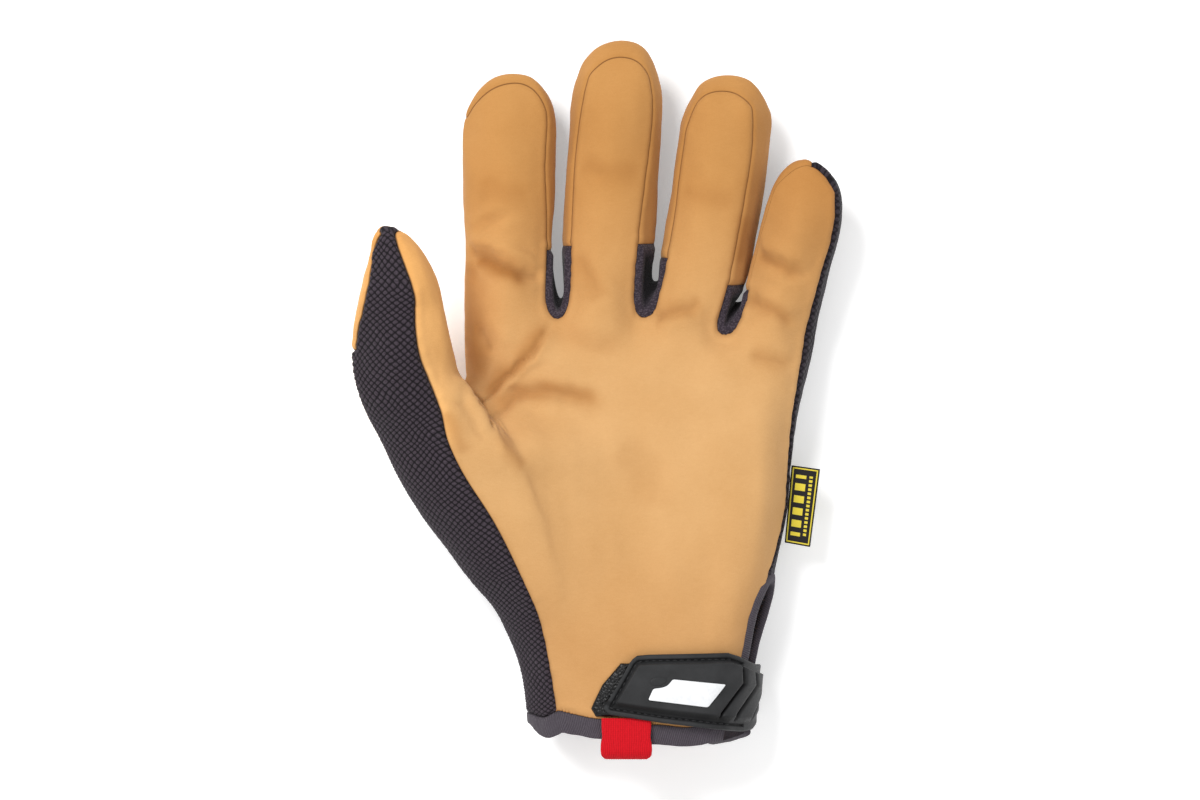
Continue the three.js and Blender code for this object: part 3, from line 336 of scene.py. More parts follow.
def join_rings(lower, upper, shift, piece_of, knit=False):
    both = []
    for ring in (lower, upper):
        fu = front_u(ring, knit)
        bu = [-spots[v][0] for v in ring["B"]]
        both.append({
            "F": fu, "B": bu,
            "RF": fu[-1] + apart(ring["F"][-1], ring["R"]), "RB": bu[-1] - apart(ring["B"][-1], ring["R"]),
            "LF": fu[0] - apart(ring["F"][0], ring["L"]), "LB": bu[0] + apart(ring["B"][0], ring["L"]),
        })
        if knit:
            both[-1]["LB"] = both[-1]["LF"]
            both[-1]["B0"] = both[-1]["LF"] - apart(ring["B"][0], ring["L"])
        else:
            both[-1]["B0"] = bu[0]
    low, high = both

    def add(corners, us, piece):
        patch(corners, piece, [(u, spots[v][1]) for u, v in zip(us, corners)])

    last = len(lower["F"]) - 1
    for i in range(last):
        add((lower["F"][i], lower["F"][i + 1], upper["F"][i + 1], upper["F"][i]),
            (low["F"][i], low["F"][i + 1], high["F"][i + 1], high["F"][i]), piece_of("front", i + shift))
        add((lower["B"][i + 1], lower["B"][i], upper["B"][i], upper["B"][i + 1]),
            (low["B"][i + 1], low["B"][i], high["B"][i], high["B"][i + 1]), piece_of("back", i + shift))
    add((lower["F"][last], lower["R"], upper["R"], upper["F"][last]),
        (low["F"][last], low["RF"], high["RF"], high["F"][last]), piece_of("right_front", last))
    add((lower["R"], lower["B"][last], upper["B"][last], upper["R"]),
        (low["RB"], low["B"][last], high["B"][last], high["RB"]), piece_of("right_back", last))
    add((lower["B"][0], lower["L"], upper["L"], upper["B"][0]),
        (low["B0"], low["LB"], high["LB"], high["B0"]), piece_of("left_back", 0))
    add((lower["L"], lower["F"][0], upper["F"][0], upper["L"]),
        (low["LF"], low["F"][0], high["F"][0], high["LF"]), piece_of("left_front", 0))


def tube_piece(row):
    def piece_of(part, column):
        if part == "right_front" and row < vent_top_row:
            return "vent_open"
        if row == 0:
            return "cuff_binding"
        if part == "front":
            return "thumb_back_panel" if column < 2 else "palm_panel"
        return "thumb_back_panel" if part.startswith("left") else "hand_back_panel"
    return piece_of


def palm_piece(part, column):
    return "palm_panel" if part in ("front", "left_front", "left_back") else "hand_back_panel"


for row in range(len(tube_rings) - 1):
    join_rings(tube_rings[row], tube_rings[row + 1], 0, tube_piece(row), knit=True)
fork = tube_rings[-1]
palm_base = {"F": fork["F"][4:], "B": fork["B"][4:], "R": fork["R"], "L": web_palm_side}
join_rings(palm_base, palm_rings[0], 4, palm_piece)
join_rings(palm_rings[0], palm_rings[1], 4, palm_piece)
join_rings(palm_rings[1], fork_ring, 4, palm_piece)

for corners, piece in (
    ((fork["F"][3], fork["F"][4], web_palm_side, web_thumb_side), "palm_panel"),
    ((web_thumb_side, web_palm_side, fork["B"][4], fork["B"][3]), "palm_panel"),
):
    patch(corners, piece, [(spots[v][0], spots[v][1]) for v in corners])
for i, web_name in enumerate(webs):
    a = 4 * i + 3
    front, back = fork_ring["F"], fork_ring["B"]
    for corners, vs in (
        ((front[a], front[a + 1], slits[i][1], slits[i][0]), (0, 0, 12, 12)),
        ((slits[i][0], slits[i][1], back[a + 1], back[a]), (12, 12, 24, 24)),
    ):
        patch(corners, f"{web_name}_gusset", [(u, v) for u, v in zip((0, 5, 4, 1), vs)])


def build_digit(name, rows, base, piece_of, knit=False):
    tip_left, tip_right, front_left, front_right, tip_z, rise = tips[name]
    lower = base
    for r, row in enumerate(rows):
        if knit:
            yl, yf, yr, left, right, seam_left, knit_x, seam_right, z_mid, deep, z_edge, z_right = row
        else:
            yl, yr, left, right, seam_left, seam_right, z_mid, deep = row
            yf, z_edge, z_right = yr, None, z_mid
            knit_x = lerp(seam_left, seam_right, 2 / 3)
        half = 0.5 * (right - left)
        xs = [seam_left, 0.5 * (seam_left + knit_x), knit_x, seam_right]
        ends = r == len(rows) - 1
        ring = {"F": [], "B": []}
        for i, x in enumerate(xs):
            y = lerp(yl, yf, eased((x - xs[0]) / (xs[3] - xs[0])))
            z = z_mid + 0.5 * deep * rounded_edge(min(x - left, max(right, seam_right + 1) - x), half)
            if ends and i in (1, 2):
                x, y = front_left if i == 1 else front_right
                z = tip_z + rise
            if i == 3 and z_edge:
                z = z_edge
            ring["F"].append(spot(x, y, z))
        ring["R"] = spot(right, yr, z_right)
        for i in range(4):
            x = lerp(left + 0.12 * half, right - 0.12 * half, i / 3)
            y = lerp(yl, yr, i / 3)
            z = z_mid - 0.5 * deep * rounded_edge(min(x - left, right - x), half)
            if ends and i in (1, 2):
                x, y = front_left if i == 1 else front_right
                z = tip_z - rise
            ring["B"].append(spot(x, y, z))
        ring["L"] = spot(left, yl, z_mid)
        join_rings(lower, ring, 0, lambda part, column, at=r: piece_of(part, column, at), knit)
        lower = ring
    mid = [lower["L"], spot(*tip_left, tip_z), spot(*tip_right, tip_z), lower["R"]]
    for i in range(3):
        for corners, part, sign in (
            ((lower["F"][i], lower["F"][i + 1], mid[i + 1], mid[i]), "tip_front", 1),
            ((mid[i], mid[i + 1], lower["B"][i + 1], lower["B"][i]), "tip_back", -1),
        ):
            uv = [(sign * spots[v][0], spots[v][1]) for v in corners]
            patch(corners, piece_of(part, i, len(rows)), uv)


def finger_base(finger):
    a = 4 * finger
    return {
        "F": fork_ring["F"][a:a + 4], "B": fork_ring["B"][a:a + 4],
        "L": fork_ring["L"] if finger == 0 else slits[finger - 1][1],
        "R": fork_ring["R"] if finger == 3 else slits[finger][0],
    }


def index_piece(part, column, row):
    if part in ("front", "left_front", "left_back"):
        return "palm_panel"
    if part == "back":
        return "hand_back_panel"
    return "index_middle_gusset" if row == 0 else "index_side_strip"


def between_piece(strip, left_gusset, right_gusset):
    def piece_of(part, column, row):
        if part in ("front", "back"):
            return "palm_panel" if part == "front" else "hand_back_panel"
        if row == 0:
            return left_gusset if part.startswith("left") else right_gusset
        return strip
    return piece_of


def little_piece(part, column, row):
    if part == "front":
        return "palm_panel"
    if part == "back" or part.startswith("right"):
        return "hand_back_panel"
    if part.startswith("tip"):
        return "little_side_strip" if column == 0 else "hand_back_panel"
    return "ring_little_gusset" if row == 0 else "little_side_strip"


def thumb_piece(part, column, row):
    if part == "tip_front":
        return "thumb_back_panel" if column == 1 else "palm_panel"
    if part == "front":
        return "thumb_back_panel" if column < 2 else "palm_panel"
    return "thumb_back_panel" if part.startswith("left") and row < 3 else "palm_panel"


build_digit("index", digits["index"], finger_base(0), index_piece)
build_digit("middle", digits["middle"], finger_base(1),
            between_piece("middle_side_strip", "index_middle_gusset", "middle_ring_gusset"))
build_digit("ring", digits["ring"], finger_base(2),
            between_piece("ring_side_strip", "middle_ring_gusset", "ring_little_gusset"))
build_digit("little", digits["little"], finger_base(3), little_piece)
little_tip_middle = [len(quads) - 4, len(quads) - 3]
thumb_base = {"F": fork["F"][:4], "B": fork["B"][:4], "L": fork["L"], "R": web_thumb_side}
build_digit("thumb", thumb_rows, thumb_base, thumb_piece, knit=True)

spots = np.array(spots)
quads = np.array(quads)
labels = np.array(labels)
marks = np.array(marks, dtype=float)


def edge_table(faces, count):
    """Each face side's edge, with the edges' two ends and how many faces share each."""
    a, b = faces, np.roll(faces, -1, axis=1)
    key = np.minimum(a, b).astype(np.int64) * count + np.maximum(a, b)
    keys, where = np.unique(key.ravel(), return_inverse=True)
    ends = np.stack([keys // count, keys % count], axis=1)
    return ends, where.reshape(faces.shape), np.bincount(where.ravel(), minlength=len(keys))


def gathered(index, values, count):
    flat = values.reshape(-1, 3)
    return np.stack([np.bincount(index.ravel(), flat[:, k], minlength=count) for k in range(3)], axis=1)


def round_each(faces, at):
    """For each point the sums of its edge neighbours, opposite corners and border neighbours."""
    count = len(at)
    ends, where, uses = edge_table(faces, count)
    near = gathered(ends[:, 0], at[ends[:, 1]], count) + gathered(ends[:, 1], at[ends[:, 0]], count)
    degree = np.bincount(ends.ravel(), minlength=count)
    across = gathered(faces, at[np.roll(faces, 2, axis=1)], count)
    rim = ends[uses == 1]
    border = gathered(rim[:, 0], at[rim[:, 1]], count) + gathered(rim[:, 1], at[rim[:, 0]], count)
    on_border = np.bincount(rim.ravel(), minlength=count) == 2
    return near, degree, across, border, on_border


def limit_of(faces, at):
    near, degree, across, border, on_border = round_each(faces, at)
    n = np.maximum(degree, 1)[:, None]
    inner = (n * n * at + 4 * near + across) / (n * (n + 5))
    out = np.where(on_border[:, None], (4 * at + border) / 6, inner)
    out[degree == 0] = at[degree == 0]
    return out


def refined(faces, at, names, uv):
    """One step of smooth subdivision. Points keep their numbers, and each face gives four."""
    count = len(at)
    ends, where, uses = edge_table(faces, count)
    centre = at[faces].mean(axis=1)
    shared = gathered(where, np.repeat(centre, 4, axis=0), len(ends))
    middle = 0.5 * (at[ends[:, 0]] + at[ends[:, 1]])
    edge_at = np.where((uses == 2)[:, None], 0.5 * middle + 0.25 * shared, middle)
    near, degree, across, border, on_border = round_each(faces, at)
    touching = np.maximum(np.bincount(faces.ravel(), minlength=count), 1)[:, None]
    n = np.maximum(degree, 1)[:, None]
    face_mean = gathered(faces, np.repeat(centre, 4, axis=0), count) / touching
    edge_mean = 0.5 * (near / n + at)
    moved = (face_mean + 2 * edge_mean + (n - 3) * at) / n
    moved = np.where(on_border[:, None], (6 * at + border) / 8, moved)
    moved[degree == 0] = at[degree == 0]
    first_face = count
    first_edge = count + len(faces)
    new_at = np.concatenate([moved, centre, edge_at])
    out, out_uv = [], []
    mid_uv = uv.mean(axis=1)
    for i in range(4):
        before = first_edge + where[:, (i + 3) % 4]
        after = first_edge + where[:, i]
        out.append(np.stack([faces[:, i], after, first_face + np.arange(len(faces)), before], axis=1))
        after_uv = 0.5 * (uv[:, i] + uv[:, (i + 1) % 4])
        before_uv = 0.5 * (uv[:, i] + uv[:, (i + 3) % 4])
        out_uv.append(np.stack([uv[:, i], after_uv, mid_uv, before_uv], axis=1))
    halves = {"first_edge": first_edge, "ends": ends, "count": count}
    return np.concatenate(out), new_at, np.tile(names, 4), np.concatenate(out_uv), halves


def fitted(faces, targets):
    """Moves the coarse points until the smooth surface passes through the sections."""
    at = targets.copy()
    for _ in range(7):
        at += targets - limit_of(faces, at)
        at[:, 2] = np.maximum(at[:, 2], 0.0)
    return at


def normals_of(faces, at):
    a, b, c, d = (at[faces[:, i]] for i in range(4))
    n = np.cross(c - a, d - b)
    total = gathered(faces, np.repeat(n, 4, axis=0), len(at))
    return total / np.maximum(np.linalg.norm(total, axis=1), 1e-12)[:, None]


keep = labels != piece_names.index("vent_open")
levels = [(quads[keep], fitted(quads[keep], spots), labels[keep], marks[keep], None)]
for _ in range(4):
    levels.append(refined(*levels[-1][:4]))
    if len(levels) == 2:
        # The knit turns over the little finger's tip only from its middle on.
        tip_faces = np.searchsorted(np.flatnonzero(keep), little_tip_middle)
        for corner in (0, 3):
            levels[1][2][tip_faces + corner * len(levels[0][0])] = piece_names.index("little_side_strip")
fine_faces, fine_cage, fine_labels, fine_uv, _ = levels[4]
fine_at = limit_of(fine_faces, fine_cage)

# Every seam is sewn along a smooth line, so the lines are evened out before anything else, and the cloth
# beside them follows.
ends, where, uses = edge_table(fine_faces, len(fine_at))
lowest = np.full(len(ends), 99)
highest = np.full(len(ends), -1)
np.minimum.at(lowest, where.ravel(), np.repeat(fine_labels, 4))
np.maximum.at(highest, where.ravel(), np.repeat(fine_labels, 4))
suede_pieces = [
    k for k, label in enumerate(piece_names) if label == "palm_panel" or label.endswith("strip")
]
web_pieces = [piece_names.index(f"{web}_gusset") for web in webs]
like_to_like = np.isin(lowest, suede_pieces) & np.isin(highest, suede_pieces)


def tree_of(points):
    """A search tree of the points, each under its number."""
    tree = KDTree(len(points))
    for i, p in enumerate(points.tolist()):
        tree.insert(p, i)
    tree.balance()
    return tree


def even_out(edges, rounds, along_surface):
    """Smooths a seam along its length, and carries the cloth within reach along with it."""
    start = fine_at.copy()
    line = fine_at.copy()
    on_line = np.bincount(edges.ravel(), minlength=len(line)) == 2
    for _ in range(rounds):
        beside = gathered(edges[:, 0], line[edges[:, 1]], len(line))
        beside += gathered(edges[:, 1], line[edges[:, 0]], len(line))
        line[on_line] = 0.5 * line[on_line] + 0.25 * beside[on_line]
    move = line - start
    if along_surface:
        facing_out = normals_of(fine_faces, fine_at)
        move -= (move * facing_out).sum(axis=1)[:, None] * facing_out
    sewn = np.unique(edges.ravel())
    tree = tree_of(start[sewn])
    low, high = start[sewn].min(axis=0) - 7, start[sewn].max(axis=0) + 7
    for i in np.flatnonzero(np.all((start > low) & (start < high), axis=1)):
        _, nearest, gap = tree.find(start[i])
        if gap < 7:
            fine_at[i] += move[sewn[nearest]] * math.exp(-(gap / 2.6) ** 2)


even_out(ends[(lowest == 0) & np.isin(highest, web_pieces)], 14, False)
even_out(ends[(lowest != highest) & like_to_like], 16, True)
fine_normals = normals_of(fine_faces, fine_at)


def distance_to(points, targets):
    """Each point's distance to the nearest target, and which one that is."""
    tree = tree_of(targets)
    found = [tree.find(p) for p in points.tolist()]
    return np.array([f[2] for f in found]), np.array([f[1] for f in found])


def ripple(points, length, seed, count=9):
    """A soft, even unevenness of about the given length, between -1 and 1."""
    random = np.random.default_rng(seed)
    ways = random.normal(size=(count, 3))
    ways /= np.linalg.norm(ways, axis=1)[:, None]
    rates = 2 * math.pi / (length * random.uniform(0.75, 1.5, count))
    phases = random.uniform(0, 2 * math.pi, count)
    return np.sin((points @ ways.T) * rates + phases).sum(axis=1) / math.sqrt(2.0 * count)


def along_line(points, line):
    """Distance across a drawn line in plan, and the share of the way along it."""
    best = np.full(len(points), 1e9)
    share = np.zeros(len(points))
    line = np.array(line, dtype=float)
    lengths = np.linalg.norm(np.diff(line, axis=0), axis=1)
    total, run = lengths.sum(), 0.0
    for (a, b), length in zip(zip(line, line[1:]), lengths):
        way = (b - a) / length
        t = np.clip((points - a) @ way, 0, length)
        gap = points - a - t[:, None] * way
        side = np.sign(way[0] * gap[:, 1] - way[1] * gap[:, 0])
        far = np.linalg.norm(gap, axis=1)
        nearer = far < np.abs(best)
        best[nearer] = (far * np.where(side == 0, 1, side))[nearer]
        share[nearer] = ((run + t) / total)[nearer]
        run += length
    return best, share


def smoothed(t):
    c = np.clip(t, 0, 1)
    return c * c * (3 - 2 * c)


# Folds worn into the suede: the line they follow in plan, how deep (or high), how wide, and how far
# they fade out at both ends.
folds = [
    ([(-51.0, 9.5), (-47.4, 5.2), (-42.5, -2.4), (-38.7, -7.7), (-33.8, -17.5), (-27.8, -24.5)],
     1.5, 2.2, 0.12, 0.45),
    ([(-51.0, 2.5), (-47.2, -3.5), (-43.5, -10.5), (-40.0, -18.5)], -0.9, 2.8, 0.2, 0.4),
    ([(-46.0, 3.6), (-41.6, -2.4), (-37.4, -8.6), (-32.2, -18.0)], -0.9, 1.0, 0.1, 0.5),
    ([(-43.0, -2.5), (-37.6, 3.5), (-30.3, 10.5), (-23.3, 17.5), (-18.0, 25.5), (-15.8, 29.5)],
     -1.1, 1.1, 0.05, 0.35),
    ([(-38.0, 0.0), (-29.0, 8.0), (-21.5, 15.5), (-15.5, 23.5)], 0.7, 2.2, 0.2, 0.3),
    ([(-39.8, -7.6), (-35.5, -3.9), (-30.3, 1.8), (-21.5, 3.5), (-11.0, 2.1), (-0.5, 0.0), (4.7, -4.2)],
     -1.0, 1.9, 0.05, 0.4),
    ([(-33.0, -4.5), (-24.0, -1.5), (-12.0, -3.0)], 0.6, 3.2, 0.3, 0.3),
    ([(-47.0, 61.5), (-40.0, 65.5), (-34.5, 69.5)], 0.6, 2.2, 0.15, 0.4),
    ([(-45.0, 58.0), (-36.0, 63.0), (-29.0, 66.5)], -0.6, 1.9, 0.2, 0.4),
    ([(-47.0, 52.2), (-42.0, 50.6), (-37.3, 49.0), (-28.2, 44.8), (-20.0, 42.4)], -1.5, 2.3, 0.08, 0.12),
    ([(-47.0, 56.5), (-38.0, 54.8), (-28.0, 50.5), (-20.0, 47.5)], 0.7, 2.3, 0.1, 0.3),
    ([(-44.5, 27.0), (-40.5, 21.5), (-38.5, 15.0)], -0.9, 2.6, 0.3, 0.3),
    ([(-34.5, 26.5), (-32.0, 18.0)], 0.5, 3.0, 0.3, 0.3),
    ([(-4.5, 79.5), (-1.0, 78.4), (3.5, 78.4)], -0.4, 1.3, 0.3, 0.4),
    ([(-8.5, 50.0), (-4.0, 43.0), (1.5, 34.0)], -0.55, 2.2, 0.2, 0.4),
    ([(17.0, 29.6), (24.0, 31.6), (31.0, 32.6), (35.0, 36.0)], -0.9, 2.3, 0.1, 0.3),
    ([(18.5, 25.0), (26.0, 26.6), (33.5, 28.0)], 0.5, 2.6, 0.3, 0.3),
    ([(53.5, 51.0), (60.5, 47.5), (66.0, 44.8), (74.0, 43.0)], -0.95, 2.2, 0.15, 0.2),
    ([(54.0, 56.0), (62.0, 52.5), (72.0, 49.5)], 0.5, 2.4, 0.2, 0.2),
    ([(50.5, 36.5), (55.5, 33.0), (60.7, 30.8), (68.5, 25.2)], -0.9, 2.0, 0.1, 0.3),
    ([(51.0, 16.5), (56.0, 14.8), (61.0, 14.0), (68.5, 11.0)], -0.7, 2.2, 0.2, 0.3),
    ([(-20.0, 24.0), (-12.5, 20.0), (-3.0, 17.5), (8.0, 18.5)], -0.35, 3.2, 0.2, 0.3),
    ([(5.0, -12.0), (16.0, -22.0), (22.0, -36.0)], -0.3, 4.5, 0.3, 0.3),
    ([(-62.0, -4.0), (-57.0, -10.0), (-52.0, -19.0)], 0.4, 4.0, 0.3, 0.3),
]

turned_under = like_to_like & (highest == piece_names.index("little_side_strip"))
joined_edges = ends[(lowest != highest) & like_to_like & ~turned_under]
seam_edges = ends[(lowest != highest) & ~like_to_like]
seam_points = np.unique(seam_edges.ravel())
open_points = np.unique(ends[uses == 1].ravel())
quarters = (0.0, 0.25, 0.5, 0.75, 1.0)
seam_gap, _ = distance_to(fine_at, np.concatenate(
    [lerp(fine_at[seam_edges[:, 0]], fine_at[seam_edges[:, 1]], t) for t in quarters]))
join_gap, _ = distance_to(fine_at, np.concatenate(
    [lerp(fine_at[joined_edges[:, 0]], fine_at[joined_edges[:, 1]], t) for t in quarters]))
quiet_seam = np.zeros(len(fine_at), bool)
snug_seam = np.zeros(len(fine_at), bool)
snug_seam[np.unique(ends[np.isin(lowest, suede_pieces[1:]) & np.isin(highest, web_pieces)].ravel())] = True
quiet_seam[np.setdiff1d(np.unique(ends[(lowest != highest) & like_to_like].ravel()), seam_points)] = True

piece_of_point = np.full(len(fine_at), -1)
piece_of_point[fine_faces.ravel()] = np.repeat(fine_labels, 4)
gussets = np.isin(piece_of_point, [piece_names.index(f"{w}_gusset") for w in webs])
cuff = piece_of_point == piece_names.index("cuff_binding")
facing = smoothed((fine_normals[:, 2] - 0.05) / 0.35)

rise = 0.20 * ripple(fine_at, 17.0, 3) + 0.07 * ripple(fine_at, 6.0, 5)
rise += 0.16 * ripple(fine_at, 4.6, 7) * np.exp(-(seam_gap / 3.2) ** 2)
rise += 0.05 * ripple(fine_at, 4.6, 7) * np.exp(-(join_gap / 2.5) ** 2)
# Painted shade: how deep each crease runs, kept to paint the suede darker in its folds.
crease_shade = np.zeros(len(fine_at))
for line, height, width, fade_in, fade_out in folds:
    box_low = np.min(line, axis=0) - 4 * width
    box_high = np.max(line, axis=0) + 4 * width
    plan = fine_at[:, :2] + 0.45 * np.stack([ripple(fine_at, 5.5, 11), ripple(fine_at, 5.5, 13)], axis=1)
    near = np.all((plan > box_low) & (plan < box_high), axis=1) & (facing > 0)
    across, share = along_line(plan[near], line)
    fade = smoothed(share / fade_in) * smoothed((1 - share) / fade_out)
    profile = np.exp(-(across / width) ** 2)
    if height < 0:
        profile -= 0.35 * np.exp(-((np.abs(across) - 2.1 * width) / (1.1 * width)) ** 2)
        crease_shade[near] = np.maximum(crease_shade[near], -height * fade * np.exp(-(across / (0.7 * width)) ** 2))
    rise[near] += height * fade * profile * facing[near]
rise *= 1 - 0.8 * gussets
rise[cuff] = 0.26 * ripple(fine_at[cuff], 8.0, 17) + 0.12 * ripple(fine_at[cuff], 3.5, 19)
sunk = -0.35 * np.exp(-(seam_gap / 0.8) ** 2) + 0.30 * facing * np.exp(-((seam_gap - 1.9) / 1.5) ** 2)
sunk += -0.30 * np.exp(-(join_gap / 0.6) ** 2) + 0.10 * np.exp(-((join_gap - 1.8) / 1.2) ** 2)
rolled = 1.1 * facing * np.exp(-((seam_gap - 2.1) / 1.5) ** 2) - 0.35 * np.exp(-(seam_gap / 0.7) ** 2)
rise += np.where(gussets, rolled, np.where(cuff, 0.0, sunk))

# Painted shade: the suede is painted browner in soft patches where the hand's hollows and folds lie
# in shade, along these lines: the line in plan, how strong, and how wide.
painted_shade_patches = [
    ([(-47.5, 55.0), (-46.5, 46.0), (-46.0, 36.0), (-44.5, 25.0), (-43.0, 12.0), (-42.5, 2.0)], 0.62, 5.0),
    ([(-46.5, 49.7), (-41.0, 48.0), (-34.0, 45.5), (-24.0, 42.0)], 0.85, 3.1),
    ([(-43.0, -2.0), (-36.5, 5.6), (-29.0, 13.5), (-22.0, 22.0), (-17.5, 29.5)], 0.72, 3.4),
    ([(-41.0, -6.5), (-35.0, -0.4), (-27.0, 3.0), (-17.0, 3.4), (-6.0, 1.0), (3.0, -3.5)], 0.62, 3.6),
    ([(-36.5, -11.0), (-31.5, -19.0), (-26.0, -24.5)], 0.40, 2.4),
    ([(-55.0, -3.0), (-51.0, -11.0), (-47.5, -20.0)], 0.42, 2.6),
    ([(16.5, 29.0), (24.0, 31.0), (31.0, 32.0), (36.5, 36.0)], 0.42, 3.4),
    ([(49.5, 38.0), (55.5, 33.5), (61.0, 30.8), (68.5, 26.0)], 0.42, 3.2),
    ([(52.5, 51.5), (60.5, 48.0), (70.0, 44.0)], 0.38, 2.8),
    ([(50.5, 17.0), (58.0, 14.5), (67.5, 11.5)], 0.30, 3.2),
    ([(50.0, 66.0), (49.0, 56.0), (47.0, 46.0)], 0.40, 2.6),
    ([(-9.5, 52.0), (-5.0, 43.0), (0.5, 33.0)], 0.26, 3.6),
    ([(-19.5, 28.5), (-13.0, 23.0), (-2.0, 19.5), (10.0, 20.5)], 0.24, 4.0),
    ([(-44.0, 76.0), (-34.0, 73.0), (-24.0, 71.5)], 0.22, 4.0),
    ([(-8.0, 82.0), (4.0, 79.5), (14.0, 80.5)], 0.24, 4.0),
    ([(27.0, 74.0), (38.0, 71.0), (48.0, 69.5)], 0.24, 4.0),
    ([(4.0, -14.0), (14.0, -24.0), (20.0, -40.0)], 0.16, 7.0),
]
painted_shade = np.zeros(len(fine_at))
for line, strength, width in painted_shade_patches:
    box_low = np.min(line, axis=0) - 3 * width
    box_high = np.max(line, axis=0) + 3 * width
    sway = np.stack([ripple(fine_at, 9.0, 41), ripple(fine_at, 9.0, 43)], axis=1)
    plan = fine_at[:, :2] + 0.25 * width * sway
    near = np.all((plan > box_low) & (plan < box_high), axis=1) & (facing > 0)
    across, share = along_line(plan[near], line)
    fade = smoothed(share / 0.2) * smoothed((1 - share) / 0.2)
    painted_shade[near] = np.maximum(painted_shade[near], strength * fade * np.exp(-(across / width) ** 2) * facing[near])

worn_at = fine_at + fine_normals * rise[:, None]
worn_at[:, 2] = np.maximum(worn_at[:, 2], 0.0)

# The edges of the side vent draw back under their tape.
vent_edge = open_points[~cuff[open_points]]
vent_gap, vent_near = distance_to(worn_at, fine_at[vent_edge])
beside = (vent_gap < 8.0) & ~cuff
away = worn_at - fine_at[vent_edge][vent_near]
away -= (away * fine_normals).sum(axis=1)[:, None] * fine_normals
length = np.linalg.norm(away, axis=1)
beside &= length > 0.05
pull_back = vent_set_back * (1 - smoothed(vent_gap / 8.0))
worn_at[beside] += (away / np.maximum(length, 1e-6)[:, None] * pull_back[:, None])[beside]


def middles(level, a, b):
    """The numbers of the points that halve the edges from a to b when that level is refined."""
    halves = levels[level + 1][4]
    keys = halves["ends"][:, 0] * halves["count"] + halves["ends"][:, 1]
    wanted = np.minimum(a, b).astype(np.int64) * halves["count"] + np.maximum(a, b)
    return halves["first_edge"] + np.searchsorted(keys, wanted)


def rim_of(faces):
    a, b = faces.ravel(), np.roll(faces, -1, axis=1).ravel()
    ends, where, uses = edge_table(faces, int(faces.max()) + 1)
    alone = uses[where.ravel()] == 1
    return a[alone], b[alone], np.repeat(np.arange(len(faces)), 4)[alone]


def drawn_in(faces, at, step):
    """Moves a piece's border inwards along its own surface, for the gap that its seam takes."""
    a, b, owner = rim_of(faces)
    centre = at[faces].mean(axis=1)
    way = at[b] - at[a]
    way /= np.linalg.norm(way, axis=1)[:, None]
    inward = centre[owner] - at[a]
    inward -= (inward * way).sum(axis=1)[:, None] * way
    inward /= np.linalg.norm(inward, axis=1)[:, None]
    total = gathered(a, inward, len(at)) + gathered(b, inward, len(at))
    size = np.linalg.norm(total, axis=1)
    moved = at.copy()
    on = size > 0
    moved[on] += total[on] / size[on][:, None] * np.broadcast_to(step, len(at))[on][:, None]
    return moved


def mesh_piece(name, at, faces, uv, sharp=55, values=None):
    """A mesh from points in millimetres, with one map in millimetres of cloth."""
    mesh = bpy.data.meshes.new(name)
    used, inverse = np.unique(np.concatenate([np.ravel(f) for f in faces]), return_inverse=True)
    flat, start = [], 0
    for group in faces:
        part = inverse[start:start + group.size].reshape(group.shape)
        flat += part.tolist()
        start += group.size
    mesh.from_pydata((at[used] / 1000.0).tolist(), [], flat)
    cloth = mesh.uv_layers.new(name="cloth")
    cloth.data.foreach_set("uv", np.concatenate([u.reshape(-1, 2) for u in uv]).astype(np.float32).ravel())
    for label, value in (values or {}).items():
        field = mesh.attributes.new(label, "FLOAT", "POINT")
        field.data.foreach_set("value", value[used].astype(np.float32))
    mesh.shade_smooth()
    mesh.set_sharp_from_angle(angle=math.radians(sharp))
    mesh.update()
    piece = bpy.data.objects.new(name, mesh)
    scene.collection.objects.link(piece)
    return piece


